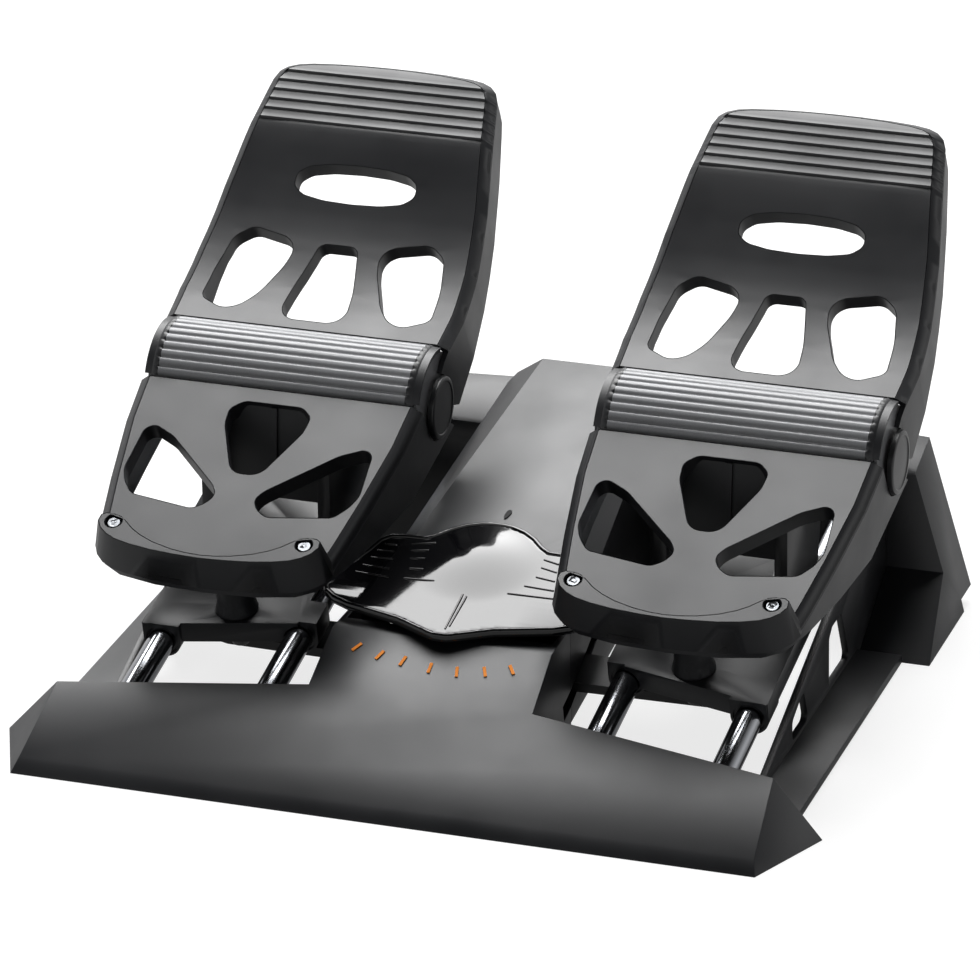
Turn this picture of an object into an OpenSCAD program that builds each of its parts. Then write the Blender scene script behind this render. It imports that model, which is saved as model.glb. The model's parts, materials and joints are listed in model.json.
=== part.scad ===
// Rudder pedals for a flight simulator: two sliding pedals on inclined rails,
// tied together by a rocker under the middle of the base. Millimetres, +Z up.
// The origin is the middle of the footprint, on the surface that the feet stand on.
// In the modules Y runs back from the front edge of the base, until desk() centres it.

/* [Base] */
// Width of the front bar over its rear floor corners
bar_w = 378; // [360:2:396]
// How far the front corners stand in from the rear corners of the bar
front_corner_in = 18; // [14:1:24]
// Depth of the front bar at its ends
bar_depth = 42; // [40:1:46]
// Slope of the front bar's upper face in degrees
bar_slope = 26.5; // [24:0.5:28]
// Distance from the front edge to the back of the base
base_depth = 300; // [296:1:310]
// Depth of the rear bar at the top
rear_bar_depth = 30; // [28:1:34]
// Height of the rear bar at its front edge
rear_bar_h = 72; // [70:1:78]
// Height of the rear bar's back edge at the middle
rear_crown_h = 86; // [82:1:90]
// Wall of every cover of the base
wall = 2.6; // [2:0.2:3.2]
// Height of the rubber feet that show below the base
foot_h = 1.2; // [0.8:0.2:2]

/* [Rails] */
// Slope of the rails in degrees
rail_slope = 12; // [11:0.5:13]
// Diameter of a rail
rail_d = 12.4; // [12:0.2:12.8]
// Distance between the two rails of one pedal
rail_gap = 60.8; // [59:0.2:62]
// Travel of a pedal to each side of the middle
travel = 40; // [30:1:42]
// Radial running clearance on the rails
rail_play = 0.06; // [0.02:0.01:0.1]

/* [Pedals] */
// Distance between the middles of the two pedals
pedal_pitch = 215.5; // [213:0.5:218]
// Distance of the toe axle from the front edge
axle_y = 206; // [202:1:210]
// Height of the toe axle
axle_z = 106.5; // [104:0.5:110]
// Outer radius of the ribbed knuckle
knuckle_r = 28.4; // [27:0.2:29.6]
// Half width of a pedal at the knuckle
pedal_half_w = 64; // [61:0.5:65]
// Slope of the heel plate in degrees
heel_slope = 24.5; // [23:0.5:26]
// Length of the heel plate along its slope
heel_len = 114; // [110:1:118]
// Slope of the toe plate in degrees
toe_slope = 34.7; // [33.5:0.1:36]
// Length of the toe plate along its slope
toe_len = 151; // [145:1:155]
// Thickness of the pedal shells
skin = 3; // [2.4:0.2:3.4]
// Swing of the toe plate under full braking in degrees
brake_swing = 20; // [12:1:22]
// Diameter of the toe axle
axle_d = 10; // [9:0.5:11]

/* [Rocker] */
// Half span of the rocker cover
cover_half_w = 64; // [58:1:66]
// Radius of the cover's dome
dome_r = 30; // [27:1:33]
// Diameter of the pivot shaft
pivot_d = 10; // [9:0.5:12]
// Thickness of the rocker arm
arm_t = 5; // [4:0.5:6]
// Diameter of the drive pins
pin_d = 8; // [7:0.5:9]

/* [Hidden] */

// Overrun of every cut past the face that it leaves
over = 1;
// Gap between pieces that are screwed or clipped together
seat = 0.2;
// Gap between pieces that pass each other
pass = 0.5;
// Radial running clearance of axle, shaft and pins
play = 0.05;
// Smoothness of round forms
$fn = 48;

charcoal = [0.20, 0.20, 0.21];
graphite = [0.15, 0.15, 0.16];
gloss_black = [0.03, 0.03, 0.035];
steel = [0.42, 0.43, 0.45];
dark_chrome = [0.30, 0.31, 0.33];
orange = [0.88, 0.45, 0.10];

// Front bar
front_edge_w = bar_w - 2 * front_corner_in;
lip_h = 4.7;
lip_d = 6.3;
bar_end_slant = 43;
bar_sweep = 18;
bar_mid_depth = bar_depth + bar_sweep;
wedge_half_w = 52;
wedge_end_half_w = 50.4;
wedge_top_y = 93;
wedge_end_y = 118;
// How much further an inset moves a corner sideways than a straight edge
corner_share = 1.3;

// Spine
spine_top_half_w = 41.4;
spine_tail_half_w = 22;
spine_tail_foot_half_w = 37;
spine_bevel_h = 10;
spine_tail_h = 95;
spine_bend_y = 178;
sliver = 0.02;

// Rear bar
rear_end_slant = 16;
rear_half_w = bar_w / 2 - 2;
rear_y = base_depth - rear_bar_depth;
rear_step_y = 222;
rear_step_h = 24;
rear_crown_drop = 9;
rear_notch_h = 5;
rear_notch_d = 17;

// Side frames, beside the outer rails
frame_gap = 11.85;
frame_x = pedal_pitch / 2 + rail_gap / 2 + frame_gap;
frame_t = 3;
strip_w = 24;
strip_x = frame_x + strip_w;
strip_t = 3;
frame_nose_y = 60;
frame_nose_h = 5;

// Base plates, feet and screws
plate_t = 1.4;
foot_d = 11;
foot_in = 39;
step_foot_in = 21;
bar_screw_in = 33;
rear_foot_in = 23.5;
step_foot_back = 60;
foot_places = [[60, 20], [bar_w / 2 - foot_in, 20], [60, base_depth - rear_foot_in],
    [bar_w / 2 - step_foot_in, base_depth - step_foot_back]];
front_screws = [[bar_screw_in - bar_w / 2, 26], [-40, 26], [40, 26],
    [bar_w / 2 - bar_screw_in, 26], [-28, 84], [28, 84]];
spine_screw_back = [100, 45];
spine_screws = [for (x = [-25, 25]) [x, base_depth - spine_screw_back[0]], for (x = [-22, 22]) [x, base_depth - spine_screw_back[1]]];
rear_screw_back = 44;
rear_screws = [[step_foot_in - bar_w / 2, base_depth - rear_screw_back], [-100, base_depth - rear_foot_in],
    [100, base_depth - rear_foot_in], [bar_w / 2 - step_foot_in, base_depth - rear_screw_back]];
screw_d = 3;
screw_head_d = 5.6;
screw_head_h = 1;
screw_len = 9;
boss_d = 7;
gland_x = -60;
gland_z = 20;
gland_d = 9;
gland_bore = 5.2;
board_t = 1.6;
board_half_w = 30;
board_y = [56, 79];

// Places that follow from the sizes above
pedal_x = pedal_pitch / 2;
seam_low_a = 157.6;
seam_high_a = 74.6;
heel_seam = [axle_y + knuckle_r * cos(seam_low_a), axle_z + knuckle_r * sin(seam_low_a)];
toe_seam = [axle_y + knuckle_r * cos(seam_high_a), axle_z + knuckle_r * sin(seam_high_a)];
pivot_y = 134;
rail_z = 30.2;
floor_z = foot_h;
inside_z = floor_z + plate_t + seat;
rail_xs = [-pedal_x - rail_gap / 2, -pedal_x + rail_gap / 2, pedal_x - rail_gap / 2, pedal_x + rail_gap / 2];
rail_t0 = -100;
rail_t1 = 164;
rail_reach = 60;

// Depth of the whole object, whose rear end is the tail of the toe plate's side wall
tail_depth_share = 0.11;
overall_depth = toe_seam[0] + toe_len * cos(toe_slope) + tail_depth_share * toe_len * sin(toe_slope);

// Heights above the plane of the rail axes
bearing_boss_n = -9;
bearing_boss_d = 22;
bush_d = pivot_d + 4;
arm_low_n = -16;
arm_room_x = 60;
arm_room_t = 31;
arm_slack = 1.3;
arm_tip = [106.5, 116.5];
shaft_low_n = -19;
hub_d = 26;
hub_screw_r = 9.5;

// Carriages
plate_low_n = 6.9;
plate_high_n = 8.9;
skirt_n = -1.5;
skirt_t = 2.4;
bush_len = 14;
bush_out_d = 15;
bush_boss_d = 17.6;
outer_bush_t = -32;
inner_bush_t = -17;
rear_bush_t = 62;
carriage_x = [-30.75, 38.75];
carriage_t = [-19.4, -33.7, 78];
pin_low_n = -17;
pin_boss_d = 16;
post_t = -14.3;
post_d = 17;
post_flare_d = 20;
post_flare_h = 6;
post_stud_d = 8;
post_nut_d = 11.5;
post_nut_n = [-9.5, -5, 1];

// Towers, toe brackets, springs and sensors
ear_x = 25;
ear_t = 6;
ear_r = 12;
foot_t = [26, 77];
foot_high_n = 12;
hub_half_w = 24;
hub_r = 9;
web_x = 17;
web_t = 5;
spring_x = [-57, -32];
spring_r = 6.3;
spring_wire_r = 0.8;
spring_turns = 10;
spring_leg = 9;
sensor_x = [31.3, 43];

// Shells of the pedals
draft = 8;
toe_taper = 4.1;
heel_taper = 2.24;
toe_flat = 112;
rib_start = 1.7;
rib_first = toe_flat + rib_start;
rib_pitch_share = 0.1364;
rib_pitch = (toe_len - toe_flat) * rib_pitch_share;
rib_r = 1.5;
rib_margin = 4.5;
toe_dip = 8.7;
toe_rise_share = 0.09;
toe_arc_d = 13;
toe_shoulder = toe_len - toe_arc_d;
rim_depth = 6;
window_rim = 1.8;
window_rim_depth = 8;
cap_r = 15;
cap_x = [66.2, 71];
cap_room = 15.5;
cap_boss_r = 8;
cheek_x = [58.2, 60];
cheek_r = 25.6;
knuckle_wide = 62.2;
ring_a = [75.6, 156, 182];
knuckle_ribs = 9;
knuckle_rib_r = 1;
stop_h = 11;
stop_hole_in = 16.8;
stop_hole = [45.2, stop_hole_in - heel_len];
stop_lobe_r = 9;
stop_bay_r = 44;
stop_bay_in = 47;
stop_bay_s = stop_bay_in - heel_len;
stop_head_r = 3.6;
stop_bore_r = 5;
stop_bore_depth = 4;

function front_h(y) = floor_z + lip_h + (y - lip_d) * tan(bar_slope);
function deck_h(y) = front_h(wedge_top_y) + (y - wedge_top_y) * tan(rail_slope);
deck_n = (deck_h(pivot_y) - rail_z) * cos(rail_slope);
// Rear edge of the front bar at a distance x from the middle
function bar_back(x) = bar_depth + bar_sweep * (bar_w / 2 - x) / (bar_w / 2 - wedge_half_w);
// Height of a level of the rail frame at y
function level_z(y, n) = rail_z + (y - pivot_y) * tan(rail_slope) + n / cos(rail_slope);

// Points of a circular arc from a to b that bulges by sag to the left of that line
function bow(a, b, sag, n = 12) =
    let (half = norm(b - a) / 2, r = (half * half + sag * sag) / (2 * sag),
        u = (b - a) / (2 * half), v = [-u[1], u[0]],
        c = (a + b) / 2 - v * (r - sag), w = asin(half / r))
    [for (i = [0:n]) let (t = w * (2 * i / n - 1)) c + r * (u * sin(t) + v * cos(t))];

// The same outline with every corner rounded to radius r
function rounded(pts, r, n = 4) =
    let (m = len(pts))
    [for (i = [0:m - 1])
        let (p = pts[i], a = pts[(i + m - 1) % m] - p, b = pts[(i + 1) % m] - p,
            ua = a / norm(a), ub = b / norm(b), half = acos(ua * ub) / 2,
            reach = min(r / tan(half), norm(a) / 2, norm(b) / 2), rr = reach * tan(half),
            mid = (ua + ub) / norm(ua + ub), c = p + mid * rr / sin(half),
            p0 = p + ua * reach - c, p1 = p + ub * reach - c, sweep = 180 - 2 * half)
        for (k = [0:n]) let (t = k / n)
            c + (p0 * sin((1 - t) * sweep) + p1 * sin(t * sweep)) / sin(sweep)];

// A convex outline moved outwards by k
function grown(pts, k) =
    let (m = len(pts))
    [for (i = [0:m - 1])
        let (a = pts[(i + m - 1) % m] - pts[i], b = pts[(i + 1) % m] - pts[i], ua = a / norm(a), ub = b / norm(b))
            pts[i] - (ua + ub) / norm(ua + ub) * k / sin(acos(ua * ub) / 2)];

function mirrored(pts) = [for (i = [len(pts) - 1:-1:0]) [-pts[i][0], pts[i][1]]];
function scaled(pts, w, l) = [for (p = pts) [p[0] * w, p[1] * l]];
function sector(r, a0, a1) = concat([[0, 0]], [for (i = [0:8]) let (a = a0 + (a1 - a0) * i / 8) r * [cos(a), sin(a)]]);

module desk() { translate([0, -overall_depth / 2, 0]) children(); }
module on_side(s) { mirror([s < 0 ? 1 : 0, 0, 0]) desk() translate([pedal_x, 0, 0]) children(); }
module rail_frame() { translate([0, pivot_y, rail_z]) rotate([rail_slope, 0, 0]) children(); }
module heel_frame() { translate([0, heel_seam[0], heel_seam[1]]) rotate([heel_slope, 0, 0]) children(); }
module toe_frame() { translate([0, toe_seam[0], toe_seam[1]]) rotate([toe_slope, 0, 0]) children(); }
module axle_frame() { translate([0, axle_y, axle_z]) children(); }
// Outline drawn in Y and Z, as thick as t along X
module side_plate(t) { rotate([90, 0, 90]) linear_extrude(t) children(); }
module rod_x(d, x0, x1) { translate([x0, 0, 0]) rotate([0, 90, 0]) cylinder(d = d, h = x1 - x0); }
module rod_y(d, y0, y1) { translate([0, y1, 0]) rotate([90, 0, 0]) cylinder(d = d, h = y1 - y0); }

// Base covers

function front_outline(k) = let (half = [
    [front_edge_w / 2 - k * corner_share, k],
    [bar_w / 2 - k * corner_share, bar_depth - k],
    [wedge_half_w - k, bar_mid_depth - k * corner_share],
    [wedge_end_half_w - k, wedge_end_y + (k > 0 ? over : 0)]]) concat(half, mirrored(half));

module front_end_cut(k) {
    yaw = atan((bar_w - front_edge_w) / 2 / bar_depth);
    for (s = [0, 1]) mirror([s, 0, 0])
        translate([front_edge_w / 2 - k * corner_share, 0, floor_z]) rotate([0, 0, -yaw])
            rotate([0, -bar_end_slant, 0]) translate([0, -bar_w / 2, -bar_w / 2]) cube(bar_w);
}

module front_form(k) {
    o = k > 0 ? over : 0;
    difference() {
        intersection() {
            linear_extrude(spine_tail_h, center = true) polygon(front_outline(k));
            translate([-bar_w / 2, 0, 0]) side_plate(bar_w) polygon([
                [k * corner_share, floor_z - o], [lip_d + k, floor_z + lip_h - k * corner_share / 2],
                [wedge_top_y, front_h(wedge_top_y) - k * corner_share],
                [wedge_end_y + o, deck_h(wedge_end_y + o) - k], [wedge_end_y + o, floor_z - o]]);
        }
        front_end_cut(k);
    }
}

// Room for the rocker arm through the walls of the base
module arm_room() {
    rail_frame() translate([-arm_room_x, -arm_room_t, arm_low_n - pass * 3])
        cube([2 * arm_room_x, 2 * arm_room_t, arm_t + pass * 6]);
}

module rail_holes(d) {
    for (x = rail_xs) rail_frame() translate([x, 0, 0]) rod_y(d, rail_t0 - pass, rail_t1 + pass);
}

module screw_bosses(places, h) {
    for (p = places) translate([p[0], p[1], floor_z + plate_t + seat]) cylinder(d = boss_d, h = h);
}
module screw_shafts(places, h) {
    for (p = places) translate([p[0], p[1], floor_z - over]) cylinder(d = screw_d + 2 * play, h = h);
}

module front_cover() color(charcoal) desk() difference() {
    union() {
        difference() {
            front_form(0);
            front_form(wall);
        }
        intersection() {
            front_form(0);
            screw_bosses(front_screws, bar_w);
        }
    }
    arm_room();
    rail_holes(rail_d + 2 * pass);
    screw_shafts(front_screws, screw_len);
}

module spine_slice(y, top_w, foot_w, h, k) {
    translate([0, y, 0]) rotate([90, 0, 0]) linear_extrude(sliver) polygon([
        [-foot_w + k, floor_z - (k > 0 ? over : 0)], [-foot_w + k, h - spine_bevel_h - k / 2], [-top_w + k / 2, h - k],
        [top_w - k / 2, h - k], [foot_w - k, h - spine_bevel_h - k / 2], [foot_w - k, floor_z - (k > 0 ? over : 0)]]);
}

module spine_form(k) {
    y0 = wedge_end_y + seat - (k > 0 ? over : 0);
    y2 = base_depth - seat - k;
    share = (spine_bend_y - y0) / (y2 - y0);
    mid_top = spine_top_half_w + (spine_tail_half_w - spine_top_half_w) * share;
    mid_foot = wedge_end_half_w + (spine_tail_foot_half_w - wedge_end_half_w) * share;
    hull() {
        spine_slice(y0, spine_top_half_w, wedge_end_half_w, deck_h(y0), k);
        spine_slice(spine_bend_y, mid_top, mid_foot, deck_h(spine_bend_y), k);
    }
    hull() {
        spine_slice(spine_bend_y, mid_top, mid_foot, deck_h(spine_bend_y), k);
        spine_slice(y2, spine_tail_half_w, spine_tail_foot_half_w, spine_tail_h, k);
    }
}

module spine_cover() color(charcoal) desk() difference() {
    union() {
        difference() {
            spine_form(0);
            spine_form(wall);
        }
        rail_frame() translate([0, 0, bearing_boss_n]) cylinder(d = bearing_boss_d, h = deck_n - bearing_boss_n - wall / 2);
        intersection() {
            translate([-bar_w / 2, 0, 0]) side_plate(bar_w) polygon([[spine_bend_y, 0], [base_depth, 0],
                [base_depth, spine_tail_h - wall / 2], [spine_bend_y, deck_h(spine_bend_y) - wall / 2]]);
            screw_bosses(spine_screws, bar_w);
        }
    }
    translate([-bar_w / 2, 0, 0]) side_plate(bar_w) polygon([[rear_y - seat, 0], [base_depth + over, 0],
        [base_depth + over, rear_crown_h + seat + over], [rear_y - seat, rear_bar_h + seat]]);
    arm_room();
    rail_frame() translate([0, 0, -rail_reach]) cylinder(d = bush_d, h = 2 * rail_reach);
    screw_shafts(spine_screws, screw_len);
}

module rear_slice(x, k) {
    crown = rear_crown_h - rear_crown_drop * abs(x) / (bar_w / 2);
    translate([x, 0, 0]) side_plate(sliver) polygon([
        [rear_y + k, floor_z - (k == 0 ? 0 : over)], [rear_y + k, rear_bar_h - k / 2],
        [base_depth - k, crown - k], [base_depth - k, floor_z - (k == 0 ? 0 : over)]]);
}

module rear_form(k) {
    difference() {
        union() {
            for (s = [-1, 1]) hull() {
                rear_slice(0, k);
                rear_slice(s * bar_w / 2, k);
            }
            for (s = [0, 1]) mirror([s, 0, 0]) translate([frame_x + frame_t + seat + k, 0, 0])
                side_plate(bar_w / 2 - frame_x) polygon([
                    [rear_step_y + 2 * k, floor_z - (k == 0 ? 0 : over)], [rear_y + k + over, floor_z + rear_step_h - k],
                    [rear_y + k + over, floor_z - (k == 0 ? 0 : over)]]);
        }
        for (s = [0, 1]) mirror([s, 0, 0]) translate([rear_half_w - k, 0, floor_z]) rotate([0, -rear_end_slant, 0])
            translate([0, 0, -bar_w / 2]) cube([bar_w, 2 * bar_w, bar_w]);
        translate([-bar_w, base_depth - rear_notch_d - (k > 0 ? k : 0), -over])
            cube([2 * bar_w, rear_notch_d * 2, floor_z + over + rear_notch_h + (k > 0 ? k : 0)]);
    }
}

module rear_cover() color(charcoal) desk() difference() {
    union() {
        difference() {
            rear_form(0);
            rear_form(wall);
        }
        intersection() {
            rear_form(0);
            screw_bosses(rear_screws, bar_w);
        }
    }
    rail_holes(rail_d + 2 * pass);
    screw_shafts(rear_screws, screw_len);
    translate([gland_x, base_depth - rear_bar_depth / 2, gland_z]) rod_y(gland_d + 2 * play, 0, rear_bar_depth);
}

module front_base_plate() color(charcoal) desk() difference() {
    intersection() {
        translate([-bar_w / 2, -over, floor_z]) cube([bar_w, wedge_end_y - seat + over, plate_t]);
        front_form(wall + seat);
    }
    screw_shafts(front_screws, screw_len);
}

module spine_base_plate() color(charcoal) desk() difference() {
    front = wedge_end_half_w - wall - 3 * seat;
    back = spine_tail_foot_half_w - wall;
    translate([0, 0, floor_z]) linear_extrude(plate_t) polygon([
        [-front, wedge_end_y + seat], [front, wedge_end_y + seat], [back, rear_y - 2 * seat], [-back, rear_y - 2 * seat]]);
    screw_shafts(spine_screws, screw_len);
}

module rear_base_plate() color(charcoal) desk() difference() {
    inner = wall + seat;
    end = rear_half_w - 2 * wall;
    y0 = rear_y + inner;
    y1 = base_depth - rear_notch_d - inner;
    translate([0, 0, floor_z]) linear_extrude(plate_t) {
        translate([-end, y0]) square([2 * end, y1 - y0]);
        for (s = [0, 1]) mirror([s, 0]) translate([frame_x + frame_t + seat + inner, rear_step_y + 5 * wall])
            square([end - frame_x - frame_t - seat - inner, y1 - rear_step_y - 5 * wall]);
    }
    screw_shafts(rear_screws, screw_len);
}

// Windows of a side frame, as outlines in Y and Z
frame_window_a = [[176, 6], [176, 30], [181, 34], [196, 34], [209, 6]];
frame_window_b = [[118, 6], [118, 16], [132, 22], [136, 22], [143, 6]];
frame_top = [[262, 70], [75, 7.5]];

module side_frame() {
    y0 = bar_back(frame_x) + seat;
    difference() {
        union() {
            translate([frame_x, 0, 0]) side_plate(frame_t) polygon([
                [y0, floor_z], [rear_y - seat, floor_z], [rear_y - seat, rear_bar_h - seat], frame_top[0], frame_top[1],
                [y0, floor_z + frame_nose_h]]);
            translate([frame_x, y0, floor_z]) cube([strip_x - frame_x, rear_step_y - seat - y0, strip_t]);
        }
        for (w = [frame_window_a, frame_window_b])
            translate([frame_x - over, 0, 0]) side_plate(frame_t + 2 * over) polygon(rounded(w, 3 * over));
    }
}
module left_side_frame() color(charcoal) mirror([1, 0, 0]) desk() side_frame();
module right_side_frame() color(charcoal) desk() side_frame();

// Rails with their blocks and bumpers

module rail(x) color(dark_chrome) desk() rail_frame() translate([x, 0, 0]) rod_y(rail_d, rail_t0, rail_t1);
module left_outer_rail() rail(rail_xs[0]);
module left_inner_rail() rail(rail_xs[1]);
module right_inner_rail() rail(rail_xs[2]);
module right_outer_rail() rail(rail_xs[3]);

block_half_w = frame_x - over;
front_block_y = [33, 43];
rear_block_low = 50;

module front_rail_block() color(graphite) desk() difference() {
    translate([-block_half_w, 0, 0]) side_plate(2 * block_half_w) polygon([
        [front_block_y[0], inside_z], [front_block_y[1], inside_z],
        [front_block_y[1], front_h(front_block_y[1]) - wall * corner_share],
        [front_block_y[0], front_h(front_block_y[0]) - wall * corner_share]]);
    rail_holes(rail_d + 2 * play);
}

module rear_rail_block() color(graphite) desk() difference() {
    y0 = rear_y + wall + seat;
    y1 = base_depth - wall - seat;
    translate([-block_half_w, 0, 0]) side_plate(2 * block_half_w) polygon([
        [y0, rear_block_low], [y1, rear_block_low], [y1, rear_bar_h], [y0, rear_bar_h - wall - seat]]);
    rail_holes(rail_d + 2 * play);
    for (p = rear_screws) if (p[1] > y0) translate([p[0] - boss_d / 2 - pass, y0 - over, rear_block_low - over])
        cube([boss_d + 2 * pass, p[1] - y0 + over + boss_d / 2 + pass, 2 * rear_bar_h]);
}

bumper_d = 17;
bumper_len = 7;

module rail_bumpers() color(graphite) desk() for (x = rail_xs) {
    lean = bumper_d / 2 * tan(rail_slope) + seat;
    t0 = (bar_back(abs(x) - bumper_d / 2) + lean - pivot_y) / cos(rail_slope);
    t1 = (rear_y - lean - pivot_y) / cos(rail_slope);
    for (t = [t0, t1 - bumper_len]) rail_frame() translate([x, 0, 0]) difference() {
        rod_y(bumper_d, t, t + bumper_len);
        rod_y(rail_d + 2 * play, t - over, t + bumper_len + over);
    }
}

// Small pieces of the base

module rubber_feet() color(graphite) desk() for (s = [-1, 1], p = foot_places)
    translate([s * p[0], p[1], 0]) cylinder(d = foot_d, h = foot_h - play);

module base_screws() color(steel) desk() for (p = concat(front_screws, spine_screws, rear_screws))
    translate([p[0], p[1], 0]) {
        translate([0, 0, floor_z - screw_head_h - play]) cylinder(d = screw_head_d, h = screw_head_h);
        translate([0, 0, floor_z - screw_head_h / 2]) cylinder(d = screw_d, h = screw_len - screw_head_h);
    }

mark_places = [[-36.7, 81.1], [-25.1, 78.6], [-13.8, 77.2], [-0.6, 75.5], [12, 75.3], [24.4, 77.1], [36, 79.8]];
mark_w = 1.4;
mark_len = 5.5;
mark_t = 0.4;
spine_mark_y = 184;
spine_mark_d = 3.6;
spine_rise = atan((spine_tail_h - deck_h(spine_bend_y)) / (base_depth - spine_bend_y));

module index_marks() color(orange) desk() {
    for (p = mark_places) translate([p[0], p[1], front_h(p[1])]) rotate([bar_slope, 0, 0])
        rotate([0, 0, atan(p[0] / (pivot_y - p[1]))]) translate([-mark_w / 2, -mark_len / 2, play])
            cube([mark_w, mark_len, mark_t]);
    translate([0, spine_mark_y, deck_h(spine_bend_y) + (spine_mark_y - spine_bend_y) * tan(spine_rise)])
        rotate([spine_rise, 0, 0]) translate([0, 0, play]) cylinder(d = spine_mark_d, h = mark_t);
}

gland_flange_d = 14;
gland_flange_t = 2;
gland_len = 8;

module cable_gland() color(graphite) desk() translate([gland_x, base_depth, gland_z]) difference() {
    union() {
        rod_y(gland_d, -gland_len, play + gland_flange_t / 2);
        rod_y(gland_flange_d, play, play + gland_flange_t);
    }
    rod_y(gland_bore, -gland_len - over, gland_flange_t + over);
}

board_post_d = 5;
board_post_h = 3;
chip_size = [12, 10, 1.6];

module circuit_board() color([0.08, 0.25, 0.14]) desk() translate([0, 0, inside_z]) {
    translate([-board_half_w, board_y[0], board_post_h]) cube([2 * board_half_w, board_y[1] - board_y[0], board_t]);
    for (x = [-1, 1], y = [board_y[0] + board_post_d, board_y[1] - board_post_d])
        translate([x * (board_half_w - board_post_d), y, 0]) cylinder(d = board_post_d, h = board_post_h + board_t / 2);
    translate([-chip_size[0] / 2, board_y[0] + board_post_d, board_post_h + board_t / 2])
        cube(chip_size + [0, 0, board_t / 2]);
}

// Pivot of the rudder

bush_flange_d = 20;
bush_flange_t = 0.3;

module pivot_bush() color(steel) desk() rail_frame() difference() {
    translate([0, 0, bearing_boss_n]) cylinder(d = bush_d - 2 * play, h = deck_n - bearing_boss_n);
    translate([0, 0, bearing_boss_n - over]) cylinder(d = pivot_d + 2 * play, h = deck_n - bearing_boss_n + 2 * over);
}

coil_wire_r = 1;
coil_r = 13.4;
coil_pitch = 2.9;
coil_turns = 5;
coil_n = -6;
coil_leg = 12;

// A tube along points, with flat ends; each ring of it has the given number of sides
module tube(points, r, sides = 6) {
    m = len(points);
    function dir(i) = let (d = points[min(i + 1, m - 1)] - points[max(i - 1, 0)]) d / norm(d);
    function side_of(d) = let (c = cross(d, abs(d[2]) > 0.8 ? [1, 0, 0] : [0, 0, 1])) c / norm(c);
    rings = [for (i = [0:m - 1]) let (d = dir(i), u = side_of(d), v = cross(d, u))
        for (k = [0:sides - 1]) points[i] + r * (u * cos(360 * k / sides) + v * sin(360 * k / sides))];
    polyhedron(rings, concat(
        [[for (k = [0:sides - 1]) k]],
        [for (i = [0:m - 2], k = [0:sides - 1])
            [i * sides + k, (i + 1) * sides + k, (i + 1) * sides + (k + 1) % sides]],
        [for (i = [0:m - 2], k = [0:sides - 1])
            [i * sides + k, (i + 1) * sides + (k + 1) % sides, i * sides + (k + 1) % sides]],
        [[for (k = [sides - 1:-1:0]) (m - 1) * sides + k]]));
}

function coil(r, pitch, turns, rings = 8) =
    [for (i = [0:turns * rings]) [r * cos(360 * i / rings), r * sin(360 * i / rings), pitch * i / rings]];

// Least gap between the turns of both springs
centring_gap = coil_pitch - 2 * coil_wire_r;
toe_gap = (spring_x[1] - spring_x[0]) / spring_turns - 2 * spring_wire_r;
echo(centring_gap = centring_gap, toe_gap = toe_gap);

module centring_spring() color(steel) desk() rail_frame() translate([0, 0, coil_n])
    tube(concat([[coil_r, -coil_leg, 0]], coil(coil_r, coil_pitch, coil_turns),
        [[coil_r, coil_leg, coil_pitch * coil_turns]]), coil_wire_r);

sensor_size = [20, 16, 5];
module rudder_sensor() color(graphite) desk() translate([0, pivot_y - shaft_low_n * sin(rail_slope), inside_z]) {
    translate([-sensor_size[0] / 2, -sensor_size[1] / 2, 0]) cube(sensor_size);
    cylinder(d = pivot_d, h = sensor_size[2] + over);
}

// Half outline of the rocker cover in X and along the rails, and its slope to the dome
cover_half = [[0, -43.6], [23, -35], [48, -29.1], [58, -24.8], [64, -17], [64, -7], [44, 8], [31, 22]];
cover_t = 4;
dome_t = 14;
dome_h = 6;
dome_low_r = 27;
function cover_outline() = let (w = cover_half_w / 64, half = [for (p = cover_half) [p[0] * w, p[1]]])
    concat(half, [[dome_r * cos(20), dome_t + dome_r * sin(20)]],
        [for (a = [35:15:145]) [dome_r * cos(a), dome_t + dome_r * sin(a)]],
        [[-dome_r * cos(20), dome_t + dome_r * sin(20)]], [for (i = [7:-1:1]) [-half[i][0], half[i][1]]]);

module rocker_cover() color(gloss_black) desk() rail_frame() translate([0, 0, deck_n + pass]) {
    ball_r = (dome_low_r * dome_low_r + dome_h * dome_h) / (2 * dome_h);
    difference() {
        union() {
            linear_extrude(cover_t) polygon(cover_outline());
            translate([0, dome_t, cover_t]) rotate_extrude() intersection() {
                translate([0, dome_h - ball_r]) circle(ball_r, $fn = 240);
                translate([0, -cover_t / 2]) square([dome_low_r, dome_h + cover_t]);
            }
        }
        difference() {
            translate([0, dome_t, -over]) cylinder(r = dome_low_r - wall, h = over + cover_t - wall / 2);
            translate([0, 0, -2 * over]) cylinder(d = pivot_d + 2 * wall, h = cover_t * 2);
        }
        translate([0, 0, -over]) cylinder(d = pivot_d + 2 * play, h = over + cover_t - wall / 4);
    }
}

arm_half = [[0, 14], [40, 11], [117, 9.6], [123, 8], [125.8, 4],
    [125.8, -4], [123, -8], [117, -9.6], [40, -11], [0, -14]];

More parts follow.
